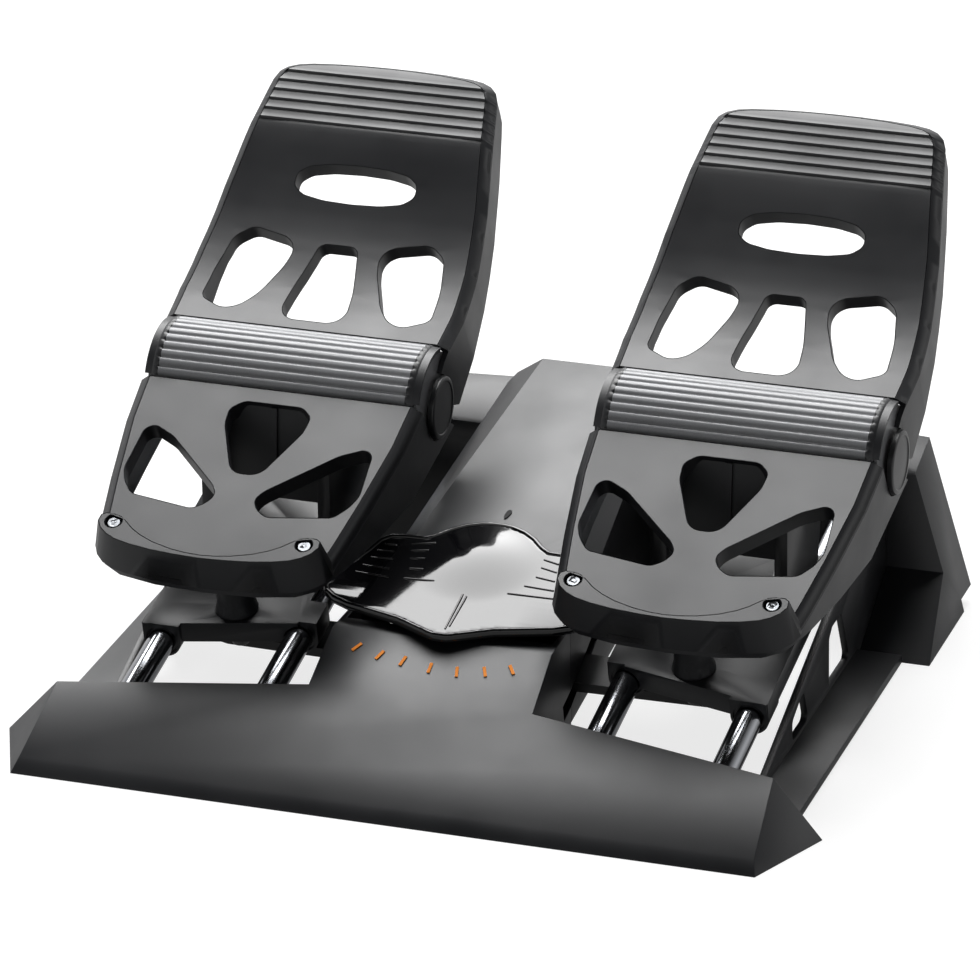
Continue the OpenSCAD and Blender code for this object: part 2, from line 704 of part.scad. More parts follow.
module rocker_arm() color(graphite) desk() rail_frame() translate([0, 0, arm_low_n]) difference() {
    union() {
        linear_extrude(arm_t) polygon(concat(arm_half, [for (i = [8:-1:1]) [-arm_half[i][0], arm_half[i][1]]]));
        translate([0, 0, shaft_low_n - arm_low_n + 2 * seat]) cylinder(d = hub_d, h = arm_low_n - shaft_low_n);
    }
    for (s = [0, 1]) mirror([s, 0, 0]) translate([0, 0, -over]) {
        half = pin_d / 2 + arm_slack;
        for (x = arm_tip) translate([x, 0, 0]) cylinder(r = half, h = arm_t + 2 * over);
        translate([arm_tip[0], -half, 0]) cube([arm_tip[1] - arm_tip[0], 2 * half, arm_t + 2 * over]);
    }
    translate([0, 0, -rail_reach]) cylinder(d = pivot_d + 2 * play, h = 2 * rail_reach);
    for (a = [0:90:270]) rotate([0, 0, a + 45]) translate([hub_screw_r, 0, -rail_reach])
        cylinder(d = screw_d + 2 * play, h = 2 * rail_reach);
}

module pivot_shaft() color(steel) desk() rail_frame() translate([0, 0, shaft_low_n])
    cylinder(d = pivot_d, h = deck_n + pass + cover_t - wall / 4 - play - shaft_low_n);

module rocker_screws() color(steel) desk() rail_frame() for (a = [0:90:270]) rotate([0, 0, a + 45])
    translate([hub_screw_r, 0, 0]) {
        translate([0, 0, arm_low_n + arm_t + play]) cylinder(d = screw_head_d, h = screw_head_h);
        translate([0, 0, shaft_low_n + seat]) cylinder(d = screw_d, h = arm_low_n + arm_t - shaft_low_n);
    }

// Carriages: each runs on two rails and drives the rocker arm by its pin

bush_places = [[-rail_gap / 2, inner_bush_t], [rail_gap / 2, outer_bush_t], [-rail_gap / 2, rear_bush_t],
    [rail_gap / 2, rear_bush_t]];
function carriage_outline(k) = [
    [carriage_x[0] + k, carriage_t[0] + k], [carriage_x[1] - k, carriage_t[1] + k * corner_share],
    [carriage_x[1] - k, carriage_t[2] - k], [carriage_x[0] + k, carriage_t[2] - k]];

module carriage() rail_frame() difference() {
    union() {
        translate([0, 0, skirt_n]) linear_extrude(plate_high_n - skirt_n) polygon(carriage_outline(0));
        for (b = bush_places) translate([b[0], 0, 0]) {
            rod_y(bush_boss_d, b[1] - over, b[1] + bush_len + over);
            translate([-bush_boss_d / 2, b[1] - over, 0]) cube([bush_boss_d, bush_len + 2 * over, plate_high_n]);
        }
        translate([0, 0, bearing_boss_n]) cylinder(d = pin_boss_d, h = plate_low_n - bearing_boss_n);
    }
    difference() {
        translate([0, 0, skirt_n - over]) linear_extrude(plate_low_n - skirt_n + over) polygon(carriage_outline(skirt_t));
        for (b = bush_places) translate([b[0] - bush_boss_d / 2, b[1] - over, -bush_boss_d])
            cube([bush_boss_d, bush_len + 2 * over, 2 * bush_boss_d]);
        translate([0, 0, -bush_boss_d]) cylinder(d = pin_boss_d, h = 2 * bush_boss_d);
    }
    for (x = [-rail_gap / 2, rail_gap / 2]) translate([x, 0, 0])
        rod_y(rail_d + 2 * pass, carriage_t[1] - bush_boss_d, carriage_t[2] + bush_boss_d);
    for (b = bush_places) translate([b[0], 0, 0]) rod_y(bush_out_d + 2 * play, b[1] - 2 * over, b[1] + bush_len + 2 * over);
    translate([0, 0, -bush_boss_d]) cylinder(d = pin_d + 2 * play, h = bush_boss_d + plate_low_n);
    translate([0, post_t, 0]) cylinder(d = post_stud_d + 2 * play, h = bush_boss_d);
    for (x = [-1, 1], t = tower_screw_t) translate([x * tower_screw_x, t, 0])
        cylinder(d = screw_d + 2 * play, h = bush_boss_d);
}
module left_carriage() color(charcoal) on_side(-1) carriage();
module right_carriage() color(charcoal) on_side(1) carriage();

module rail_bushes() rail_frame() for (b = bush_places) translate([b[0], 0, 0]) difference() {
    rod_y(bush_out_d, b[1], b[1] + bush_len);
    rod_y(rail_d + 2 * rail_play, b[1] - over, b[1] + bush_len + over);
}
module left_rail_bushes() color(gloss_black) on_side(-1) rail_bushes();
module right_rail_bushes() color(gloss_black) on_side(1) rail_bushes();

module drive_pin() rail_frame() translate([0, 0, pin_low_n]) cylinder(d = pin_d, h = plate_low_n - play - pin_low_n);
module left_drive_pin() color(steel) on_side(-1) drive_pin();
module right_drive_pin() color(steel) on_side(1) drive_pin();

// Everything above the underside of a heel plate
module over_heel() heel_frame() translate([-bar_w / 2, -bar_w / 2, -skin - seat]) cube(bar_w);

module post() difference() {
    rail_frame() translate([0, post_t, 0]) {
        translate([0, 0, plate_high_n + play]) cylinder(d = post_d, h = pedal_half_w + rail_gap / 2);
        translate([0, 0, plate_high_n + play]) cylinder(d1 = post_flare_d, d2 = post_d, h = post_flare_h);
        translate([0, 0, post_nut_n[1]]) cylinder(d = post_stud_d, h = plate_high_n + over - post_nut_n[1]);
        translate([0, 0, post_nut_n[1]]) cylinder(d = post_nut_d, h = post_nut_n[2] - post_nut_n[1]);
        translate([0, 0, post_nut_n[0]]) cylinder(d1 = post_stud_d, d2 = post_nut_d, h = post_nut_n[1] - post_nut_n[0]);
    }
    over_heel();
}
module left_post() color(charcoal) on_side(-1) post();
module right_post() color(charcoal) on_side(1) post();

tower_screw_x = 17;
tower_screw_t = [34, 68];
ear_back = [[177.5, 100], [197, 96], [216, 94]];
ear_front_y = [158, 174];
ear_foot_y = 207;
function under_heel(y) = heel_seam[1] + (y - heel_seam[0]) * tan(heel_slope) - (skin + seat) / cos(heel_slope);

module tower() difference() {
    union() {
        for (x = [-ear_x - ear_t, ear_x]) translate([x, 0, 0]) {
            side_plate(ear_t) polygon(concat([[ear_foot_y, level_z(ear_foot_y, plate_high_n + play)],
                [ear_front_y[0], level_z(ear_front_y[0], plate_high_n + play)]],
                [for (y = ear_front_y) [y, under_heel(y)]], ear_back));
            axle_frame() rod_x(2 * ear_r, 0, ear_t);
        }
        rail_frame() translate([-ear_x - over, foot_t[0], plate_high_n + play])
            cube([2 * ear_x + 2 * over, foot_t[1] - foot_t[0], foot_high_n - plate_high_n]);
    }
    axle_frame() rod_x(axle_d + 2 * play, -bar_w, bar_w);
    rail_frame() for (x = [-1, 1], t = tower_screw_t) translate([x * tower_screw_x, t, 0])
        cylinder(d = screw_d + 2 * play, h = 2 * bush_boss_d);
}
module left_tower() color(graphite) on_side(-1) tower();
module right_tower() color(graphite) on_side(1) tower();

// Heel plates: outlines across and along the slope, which runs forward from the seam

heel_arc_d = 22;
heel_taper_at = heel_len - heel_arc_d;
heel_end_half_w = pedal_half_w - 4;
heel_lap = 40;
function heel_outline(k) = let (w0 = pedal_half_w - 2 * seat - k, w1 = heel_end_half_w - k, l1 = -heel_taper_at,
    w2 = w0 + (w0 - w1) / heel_taper_at * heel_lap)
    concat([[w2, heel_lap], [-w2, heel_lap]], [[-w1, l1]],
        [for (i = [1:15]) bow([-w1, l1], [w1, l1], k - heel_arc_d, 16)[i]],
        [[w1, l1]]);
// Side wall of a heel plate, in shares of its length and of its drop
heel_wall_drop = 46.1;
heel_wall_shares = [[-0.8544, -0.1887], [-0.6482, -0.4317], [-0.3561, -0.679],
    [-0.0588, -0.8937], [0.1342, -0.9458], [0.386, -1]];
heel_wall = scaled(heel_wall_shares, heel_len, heel_wall_drop);
// Cut that clears the knuckle, in shares of its radius
heel_cut_shares = [[0.1831, -0.9331], [0.6937, -0.743], [0.912, -1.243], [1.0915, -1.6549], [2.1127, -1.7606]];
heel_cut = scaled(heel_cut_shares, knuckle_r, knuckle_r);
// Windows, in shares of the half width and of the length
heel_centre_shares = [[0.2188, -0.0754], [0.3047, -0.1228], [0.2922, -0.2061], [0.125, -0.4254], [0.0625, -0.4518]];
heel_centre_window = scaled(heel_centre_shares, pedal_half_w, heel_len);
heel_side_shares = [[0.7906, -0.2535], [0.8547, -0.2781], [0.8797, -0.4939], [0.8391, -0.557], [0.7531, -0.6202],
    [0.2781, -0.6596], [0.1906, -0.6246], [0.1484, -0.5772], [0.1906, -0.5307], [0.625, -0.3026]];
heel_side_window = scaled(heel_side_shares, pedal_half_w, heel_len);

heel_centre = concat(heel_centre_window, mirrored(heel_centre_window));
// Plan limit of the side walls: their front ends follow the curved front of the plate
function heel_wall_limit() = let (w = heel_end_half_w + skin, l = -heel_taper_at)
    concat([[bar_w / 2, l], [bar_w / 2, bar_w], [-bar_w / 2, bar_w], [-bar_w / 2, l], [-w, l]],
        [for (i = [1:15]) bow([-w, l], [w, l], -heel_arc_d, 16)[i]], [[w, l]]);

// Side wall of a shell: it leans out by the draft and follows the taper
module side_wall(half, taper) for (s = [0, 1]) mirror([s, 0, 0])
    translate([half, 0, 0]) rotate([0, 0, taper]) rotate([0, -draft, 0]) translate([-skin, 0, 0]) side_plate(skin) children();

module heel_plate() difference() {
    union() {
        heel_frame() translate([0, 0, -skin]) linear_extrude(skin) polygon(heel_outline(0));
        heel_frame() intersection() {
            side_wall(pedal_half_w - 2 * seat, -heel_taper)
                polygon(concat([[heel_wall[5][0], 0], [heel_wall[0][0], 0]], heel_wall));
            translate([0, 0, -bar_w / 2]) linear_extrude(bar_w) polygon(heel_wall_limit());
        }
        heel_frame() translate([0, 0, -window_rim_depth]) linear_extrude(window_rim_depth - skin / 2) {
            for (s = [0, 1]) mirror([s, 0]) polygon(rounded(grown(heel_side_window, window_rim), 2 * over));
            polygon(rounded(grown(heel_centre, window_rim), 2 * over));
        }
        heel_frame() intersection() {
            translate([0, 0, -rim_depth]) linear_extrude(rim_depth) difference() {
                polygon(heel_outline(0));
                polygon(heel_outline(skin));
            }
            translate([-bar_w / 2, -bar_w - heel_taper_at + over, -bar_w / 2]) cube(bar_w);
        }
    }
    axle_frame() rod_x(2 * (knuckle_r + pass), -cheek_x[1] - pass / 2, cheek_x[1] + pass / 2);
    heel_frame() translate([-bar_w / 2, 0, 0]) side_plate(bar_w) polygon(concat([[-pass, over], [-pass, -2 * pass]], heel_cut,
        [[heel_cut[4][0], over]]));
    axle_frame() rod_x(2 * cap_room, -bar_w, bar_w);
    heel_frame() translate([0, 0, -window_rim_depth - over]) linear_extrude(window_rim_depth + 2 * over) {
        for (s = [0, 1]) mirror([s, 0]) polygon(rounded(heel_side_window, 2 * over));
        polygon(rounded(heel_centre, 2 * over));
    }
    heel_frame() for (x = [-1, 1]) translate([x * stop_hole[0], stop_hole[1], -2 * skin])
        cylinder(d = screw_d + 2 * play, h = 3 * skin);
}
module left_heel_plate() color(charcoal) on_side(-1) heel_plate();
module right_heel_plate() color(charcoal) on_side(1) heel_plate();

module heel_stop() heel_frame() translate([0, 0, play]) difference() {
    linear_extrude(stop_h) intersection() {
        polygon(heel_outline(seat));
        translate([-bar_w, stop_hole[1] - bar_w]) square([2 * bar_w, bar_w + stop_lobe_r * 3 / 4]);
        difference() {
            translate([-bar_w, -2 * bar_w]) square(2 * bar_w);
            translate([0, stop_bay_s]) circle(stop_bay_r, $fn = 96);
            translate([-stop_hole[0] + stop_lobe_r, stop_hole[1] + stop_lobe_r / 3])
                square([2 * stop_hole[0] - 2 * stop_lobe_r, bar_w]);
        }
    }
    for (x = [-1, 1]) translate([x * stop_hole[0], stop_hole[1], 0]) {
        translate([0, 0, -over]) cylinder(d = screw_d + 2 * play, h = stop_h + 2 * over);
        translate([0, 0, stop_h - stop_bore_depth]) cylinder(r = stop_bore_r, h = stop_h);
    }
}
module left_heel_stop() color(charcoal) on_side(-1) heel_stop();
module right_heel_stop() color(charcoal) on_side(1) heel_stop();

socket_r = 1.7;
module heel_screws() {
    heel_frame() for (x = [-1, 1]) translate([x * stop_hole[0], stop_hole[1], 0]) {
        translate([0, 0, -2 * skin]) cylinder(d = screw_d, h = stop_h - stop_bore_depth + 3 * skin);
        translate([0, 0, stop_h - stop_bore_depth + 2 * play]) difference() {
            cylinder(r = stop_head_r, h = skin);
            translate([0, 0, skin / 2]) cylinder(r = socket_r, h = skin, $fn = 6);
        }
    }
    rail_frame() for (x = [-1, 1], t = tower_screw_t) translate([x * tower_screw_x, t, 0]) {
        translate([0, 0, plate_low_n - skin]) cylinder(d = screw_d, h = foot_high_n - plate_low_n + skin + over);
        translate([0, 0, foot_high_n + 2 * play]) cylinder(d = screw_head_d, h = screw_head_h * 2);
    }
}
module left_heel_screws() color(steel) on_side(-1) heel_screws();
module right_heel_screws() color(steel) on_side(1) heel_screws();

// Toe axle with its spring and sensor

module axle() axle_frame() rod_x(axle_d, -cap_x[0] + play, cap_x[0] - play);
module left_axle() color(steel) on_side(-1) axle();
module right_axle() color(steel) on_side(1) axle();

module toe_spring() {
    pitch = (spring_x[1] - spring_x[0]) / spring_turns;
    last = spring_x[1] - spring_x[0];
    axle_frame() translate([spring_x[0], 0, 0]) rotate([0, 90, 0])
        tube(concat([[spring_r, -spring_leg, 0]], coil(spring_r, pitch, spring_turns),
            [[spring_r, spring_leg, last]]), spring_wire_r);
}
module left_toe_spring() color(steel) on_side(-1) toe_spring();
module right_toe_spring() color(steel) on_side(1) toe_spring();

sensor_r = 9;
plug_size = [8, 8, 6];
module brake_sensor() axle_frame() difference() {
    union() {
        rod_x(2 * sensor_r, sensor_x[0], sensor_x[1]);
        translate([sensor_x[0], -plug_size[1] / 2, -sensor_r - plug_size[2] + over]) cube(plug_size);
    }
    rod_x(axle_d + 2 * pass, sensor_x[0] - over, sensor_x[1] + over);
}
module left_brake_sensor() color(graphite) on_side(-1) brake_sensor();
module right_brake_sensor() color(graphite) on_side(1) brake_sensor();

// Side profile of the toe plate: a hollow in shares of its flat length and depth, then a rise under the ribs
toe_profile_shares = [[0, 0], [0.07, -0.27], [0.14, -0.52], [0.23, -0.77], [0.32, -0.93], [0.41, -1], [0.5, -0.99],
    [0.59, -0.9], [0.68, -0.73], [0.77, -0.53], [0.86, -0.3], [0.93, -0.13], [1, 0]];
toe_profile = concat(scaled(toe_profile_shares, toe_flat, toe_dip),
    [[toe_len + over, (toe_len + over - toe_flat) * toe_rise_share]]);
toe_last = len(toe_profile) - 1;
function curl(s) = lookup(s, toe_profile);

web_s = [2, 6.5];
web_side = concat([[-17, -25], [-5, -20], [web_s[1], -12]],
    [for (s = [web_s[1], web_s[0]]) [s, curl(s) - skin - seat]], [[-10, -10]]);
module toe_bracket() difference() {
    union() {
        axle_frame() rod_x(2 * hub_r, -hub_half_w, hub_half_w);
        toe_frame() for (x = [-web_x - web_t, web_x]) translate([x, 0, 0]) side_plate(web_t) polygon(web_side);
    }
    axle_frame() rod_x(axle_d + 2 * play, -bar_w, bar_w);
}
module left_toe_bracket() color(graphite) on_side(-1) toe_bracket();
module right_toe_bracket() color(graphite) on_side(1) toe_bracket();

// Knuckle: ribbed drum between heel plate and toe plate, turning with the toe plate

module drum(half, a0, a1) axle_frame() translate([-half, 0, 0]) side_plate(2 * half) difference() {
    intersection() {
        circle(knuckle_r - knuckle_rib_r, $fn = 144);
        polygon(sector(2 * knuckle_r, a0, a1));
    }
    circle(knuckle_r - skin, $fn = 144);
}

module knuckle() difference() {
    union() {
        drum(knuckle_wide, ring_a[0], ring_a[1]);
        drum(cheek_x[1], ring_a[1] - over, ring_a[2]);
        for (i = [0:knuckle_ribs - 1]) {
            a = ring_a[0] + 4 + (ring_a[1] - ring_a[0] - 8) * i / (knuckle_ribs - 1);
            r = knuckle_r - 2 * knuckle_rib_r;
            axle_frame() translate([0, r * cos(a), r * sin(a)])
                rod_x(4 * knuckle_rib_r, -knuckle_wide + over, knuckle_wide - over);
        }
        for (s = [0, 1]) mirror([s, 0, 0]) axle_frame() translate([cheek_x[0], 0, 0]) side_plate(cheek_x[1] - cheek_x[0])
            circle(cheek_r, $fn = 144);
    }
    axle_frame() rod_x(2 * (knuckle_r - skin), -cheek_x[0], cheek_x[0]);
    axle_frame() rod_x(axle_d + 2 * play, -bar_w, bar_w);
}
module left_knuckle() color(charcoal) on_side(-1) knuckle();
module right_knuckle() color(charcoal) on_side(1) knuckle();

// Toe plates: outlines across and along the slope, which runs up and back from the seam

toe_end_half_w = pedal_half_w - 13;
toe_rib_half_w = pedal_half_w - 8.2;
// Side wall of a toe plate, in shares of its length and of its drop
toe_wall_drop = 43.5;
toe_wall_shares = [[0.9934, -0.3816], [0.8344, -0.5632], [0.6821, -0.6943],
    [0.4305, -0.8805], [0.1854, -0.9264], [0.0861, -0.9701], [-0.0245, -1]];
toe_wall = scaled(toe_wall_shares, toe_len, toe_wall_drop);
// Place of the axle along and across the toe plate, and the ends of the arc that clears the cap
toe_to_axle = [axle_y - toe_seam[0], axle_z - toe_seam[1]];
toe_axle = [toe_to_axle[0] * cos(toe_slope) + toe_to_axle[1] * sin(toe_slope),
    toe_to_axle[1] * cos(toe_slope) - toe_to_axle[0] * sin(toe_slope)];
notch_a = [39.9, -54.7];
// Windows, in shares of the half width and of the flat length
outer_shares = [[0.3281, 0.4286], [0.3906, 0.4777], [0.6797, 0.5179], [0.8047, 0.4598], [0.8594, 0.2946], [0.875, 0.1295],
    [0.6875, 0.0732], [0.5703, 0.0982], [0.4688, 0.1786], [0.3516, 0.3527]];
outer_window = scaled(outer_shares, pedal_half_w, toe_flat);
middle_shares = [[0.0781, 0.4643], [0.1484, 0.3973], [0.2188, 0.2321], [0.2422, 0.1339], [0.1719, 0.067], [0, 0.0402]];
middle_window = scaled(middle_shares, pedal_half_w, toe_flat);
lens_s_share = 0.75;
lens_s = toe_flat * lens_s_share;
lens_half = 29;
lens_h = 19;

// Slab that follows the profile between two depths below it
module toe_slab(high, low) translate([-bar_w / 2, 0, 0]) side_plate(bar_w) polygon(concat(
    [for (p = toe_profile) p - [0, high]], [for (i = [toe_last:-1:0]) toe_profile[i] - [0, low]]));
function toe_outline(k) = let (w0 = pedal_half_w - k, w1 = toe_rib_half_w - k, w2 = toe_end_half_w - k, l2 = toe_shoulder,
    e = toe_arc_d - k)
    concat([[-w0, 0.3], [w0, 0.3]], [[w1, rib_first]], [[w2, l2]], [for (i = [1:15]) bow([w2, l2], [-w2, l2], -e, 16)[i]],
        [[-w2, l2]], [[-w1, rib_first]]);
// Plan limit of the side walls: their upper ends follow the arched end of the plate
function toe_wall_limit() = let (w = toe_end_half_w + skin, l = toe_shoulder)
    concat([[-bar_w / 2, l], [-bar_w / 2, -bar_w / 2], [bar_w / 2, -bar_w / 2], [bar_w / 2, l], [w, l]],
        [for (i = [1:15]) bow([w, l], [-w, l], -toe_arc_d, 16)[i]], [[-w, l]]);

module toe_skin(k, depth) intersection() {
    toe_slab(0, depth);
    translate([0, 0, -bar_w / 2]) linear_extrude(bar_w) polygon(toe_outline(k));
}

// Window between two arcs, with clipped tips, moved outwards by k
lens_tip = 26.5;
module lens(k) intersection() {
    r = (lens_half * lens_half + lens_h * lens_h / 4) / lens_h;
    translate([0, lens_s + lens_h / 2 - r]) circle(r + k, $fn = 96);
    translate([0, lens_s - lens_h / 2 + r]) circle(r + k, $fn = 96);
    translate([-lens_tip - k, lens_s - lens_h]) square([2 * (lens_tip + k), 2 * lens_h]);
}
middle_full = concat(middle_window, [for (i = [4:-1:0]) [-middle_window[i][0], middle_window[i][1]]]);

module toe_plate() difference() {
    union() {
        toe_frame() toe_skin(0, skin);
        toe_frame() difference() {
            toe_skin(0, tail_depth_share * toe_len + curl(toe_len));
            toe_skin(skin, pedal_half_w);
            translate([-bar_w / 2, -bar_w / 2, -bar_w / 2]) cube([bar_w, bar_w / 2 + toe_shoulder - 2 * skin, bar_w]);
        }
        toe_frame() intersection() {
            side_wall(pedal_half_w, toe_taper) polygon(concat(toe_profile, toe_wall,
                [for (i = [0:8]) let (a = notch_a[1] + (notch_a[0] - notch_a[1]) * i / 8)
                    toe_axle + cap_room * [cos(a), sin(a)]]));
            translate([0, 0, -bar_w / 2]) linear_extrude(bar_w) polygon(toe_wall_limit());
        }
        toe_frame() intersection() {
            toe_slab(skin / 2, window_rim_depth);
            translate([0, 0, -toe_dip - window_rim_depth]) linear_extrude(toe_dip + window_rim_depth) {
                for (s = [0, 1]) mirror([s, 0]) polygon(rounded(grown(outer_window, window_rim), 2 * over));
                polygon(rounded(grown(middle_full, window_rim), 2 * over));
                lens(window_rim);
            }
        }
        toe_frame() for (i = [0:5]) {
            s = rib_first + rib_pitch * i;
            narrowing = (toe_rib_half_w - toe_end_half_w) / (toe_shoulder - rib_first);
            half = toe_rib_half_w - rib_margin - narrowing * (s - rib_first);
            translate([0, s, curl(s)]) rod_x(2 * rib_r, -half, half);
        }
    }
    toe_frame() translate([0, 0, -toe_dip - window_rim_depth - over]) linear_extrude(toe_dip + window_rim_depth + 2 * over) {
        for (s = [0, 1]) mirror([s, 0]) polygon(rounded(outer_window, 2 * over));
        polygon(rounded(middle_full, 2 * over));
        lens(0);
    }
}
module left_toe_plate() color(charcoal) on_side(-1) toe_plate();
module right_toe_plate() color(charcoal) on_side(1) toe_plate();

module axle_caps() difference() {
    axle_frame() for (s = [0, 1]) mirror([s, 0, 0]) {
        rod_x(2 * cap_r, cap_x[0] - 2, cap_x[1]);
        rod_x(2 * cap_boss_r, cheek_x[1] + seat, cap_x[0]);
    }
    axle_frame() rod_x(axle_d + 2 * play, -cap_x[0], cap_x[0]);
}
module left_axle_caps() color(graphite) on_side(-1) axle_caps();
module right_axle_caps() color(graphite) on_side(1) axle_caps();

front_cover();
spine_cover();
rear_cover();
front_base_plate();
spine_base_plate();
rear_base_plate();
left_side_frame();
right_side_frame();
left_outer_rail();
left_inner_rail();
right_inner_rail();
right_outer_rail();
front_rail_block();
rear_rail_block();
rail_bumpers();
rubber_feet();
base_screws();
index_marks();
cable_gland();
circuit_board();
pivot_bush();
centring_spring();
rudder_sensor();
rocker_cover();
rocker_arm();
pivot_shaft();
rocker_screws();
left_carriage();
left_rail_bushes();
left_drive_pin();
left_post();
left_tower();
left_heel_plate();
left_heel_stop();
left_heel_screws();
left_axle();
left_toe_spring();
left_brake_sensor();
left_toe_bracket();
left_knuckle();
left_toe_plate();
left_axle_caps();
right_carriage();
right_rail_bushes();
right_drive_pin();
right_post();
right_tower();
right_heel_plate();
right_heel_stop();
right_heel_screws();
right_axle();
right_toe_spring();
right_brake_sensor();
right_toe_bracket();
right_knuckle();
right_toe_plate();
right_axle_caps();
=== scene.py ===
"""Rudder pedals for a flight simulator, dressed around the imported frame.

The pieces are drawn in millimetres, and every other length is in metres.
"""

import json
import math

import bmesh
import bpy
from mathutils import Matrix, Vector


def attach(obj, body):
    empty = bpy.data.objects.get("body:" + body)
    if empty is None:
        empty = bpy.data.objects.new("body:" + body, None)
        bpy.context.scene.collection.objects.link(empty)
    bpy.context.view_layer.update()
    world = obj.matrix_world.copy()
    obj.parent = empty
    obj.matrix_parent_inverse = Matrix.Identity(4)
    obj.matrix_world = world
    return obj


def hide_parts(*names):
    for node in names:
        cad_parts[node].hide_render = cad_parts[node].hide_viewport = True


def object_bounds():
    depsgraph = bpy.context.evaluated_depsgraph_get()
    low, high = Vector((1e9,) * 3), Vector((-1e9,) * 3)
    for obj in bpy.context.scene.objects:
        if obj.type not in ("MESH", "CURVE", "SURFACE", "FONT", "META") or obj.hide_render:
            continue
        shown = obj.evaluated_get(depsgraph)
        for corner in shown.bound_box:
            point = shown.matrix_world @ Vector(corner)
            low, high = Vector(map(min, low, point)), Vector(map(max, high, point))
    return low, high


bl_info = {
    "name": "Rudder pedals",
    "version": (1, 0, 0),
    "blender": (4, 5, 0),
    "location": "3D View > Sidebar > Pedals",
    "description": "Dresses the frame of a pair of flight rudder pedals and lights it for a picture",
    "category": "Object",
}

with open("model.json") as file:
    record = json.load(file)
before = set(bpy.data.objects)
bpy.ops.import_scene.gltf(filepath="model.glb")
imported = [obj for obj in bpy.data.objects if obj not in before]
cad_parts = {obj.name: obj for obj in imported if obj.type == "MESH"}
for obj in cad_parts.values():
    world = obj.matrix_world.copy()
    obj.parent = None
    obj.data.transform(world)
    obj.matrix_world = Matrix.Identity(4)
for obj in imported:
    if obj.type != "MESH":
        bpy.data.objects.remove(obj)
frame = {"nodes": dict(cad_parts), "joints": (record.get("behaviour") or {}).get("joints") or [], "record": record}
CAD_BOX = [list(corner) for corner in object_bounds()]

MM = 0.001
# Half the depth of the object: drawings measure Y back from the front edge of the base
HALF_DEPTH = CAD_BOX[1][1]
SIDES = {"left": -1, "right": 1}
JOINTS = {joint["name"]: joint for joint in frame["joints"]}
# Middle of each pedal's axle, from the toe brake joints
AXLE = {side: Vector(JOINTS[f"{name}_brake"]["pos_m"]) for name, side in SIDES.items()}
# Finish and body of each CAD node
SLOT = {row["node"]: row["material_slot"] for row in frame["record"]["subparts"]}
BODY = {node: body for body, nodes in frame["record"]["behaviour"]["bodies"].items() for node in nodes}

KNUCKLE_R = 28.4
# Places of the two seams around the knuckle, in degrees, and the slopes of the plates that start there
TOE_SEAM, TOE_SLOPE = 74.6, 34.7
HEEL_SEAM, HEEL_SLOPE = 157.6, 24.5

# Band around a plate: its hem's depth below the face, its steps in and up, and the ledge below the hem
BAND_DROP = 4.6
BAND_STEPS = ((0.35, 0.9), (3.55, 3.25), (0.8, 0.45))
BAND_WIDTH = sum(inward for inward, up in BAND_STEPS)
LEDGE, LEDGE_INSIDE = 1.2, 0.4
# Rims of the windows: steps in and down
WINDOW_ROUND = ((0.12, 0.28), (0.3, 0.1))
# A side wall leans by its flare over this height, and less towards the middle from this width
FLARE_HEIGHT, FLARE_WIDTH = 40.0, 30.0

# Outlines are across and up the slope from the seam, and profiles are up the slope and out of the face
TOE_EDGE = (
    (69, 0), (69.8, 20), (68.6, 45), (66.8, 62), (65, 79), (60.5, 109), (56.8, 131), (55.7, 137),
    (53.7, 141.7), (50.3, 145.3), (45.6, 147.8), (39, 149.4), (26, 151), (12, 151.8), (0, 152),
)
TOE_WALL = ((150, -16.6), (126, -24.5), (103, -30.2), (65, -38.3), (28, -40.3), (13, -42.2), (0, -43.5))
TOE_OUTER = (
    (21, 48), (25, 54), (43.5, 58), (51.5, 51.5), (55, 33), (56, 14.5), (44, 8.2), (36.5, 11), (30, 20),
    (22.5, 39.5),
)
TOE_MIDDLE = ((11, 6), (15.8, 12), (14.5, 26), (9, 52.5))
TOE_LENS = (
    (29.5, 87), (24.5, 91), (14, 93), (0, 93.6), (-14, 93), (-24.5, 91), (-29.5, 87), (-29.5, 81),
    (-24.5, 77), (-14, 75), (0, 74.4), (14, 75), (24.5, 77), (29.5, 81),
)
TOE_OUTER_CORNER, TOE_MIDDLE_CORNER, TOE_LENS_CORNER, TOE_FLARE = 3.3, 3.6, 2.0, 2.0
# Side profile of the toe plate: shares of its flat length and of its dip, then a rise under the ribs
TOE_FLAT, TOE_DIP, TOE_RISE = 112.0, 8.7, 0.045
TOE_DIP_SHARES = (
    (0, 0), (0.07, 0.27), (0.14, 0.52), (0.23, 0.77), (0.32, 0.93), (0.41, 1), (0.5, 0.99), (0.59, 0.9),
    (0.68, 0.73), (0.77, 0.53), (0.86, 0.3), (0.93, 0.13), (1, 0),
)
# The dip is cut a second time this far behind each of its places
DIP_CUT = 4.0
RIBS, RIB_FIRST, RIB_PITCH = 6, 113.7, 5.32
# Height of a rib across its width, from its middle
RIB_SHAPE = ((-2.66, 0), (-0.9, -0.25), (-0.35, 0.5), (0, 0.65), (0.4, 0.5), (0.85, 0.22), (2.66, 0))
# The end of the toe plate rolls over from here, with the distance and its square
LIP_FROM, LIP_TURN, LIP_ROLL = 142.4, 0.21, 0.025
LIP_CUTS, LIP_CUT = 7, 1.2
# Levels below the face between which the walls fade out of the dip and of the rolled end
DIP_FADE, LIP_FADE = (-32.0, -12.0), (-14.0, -5.0)

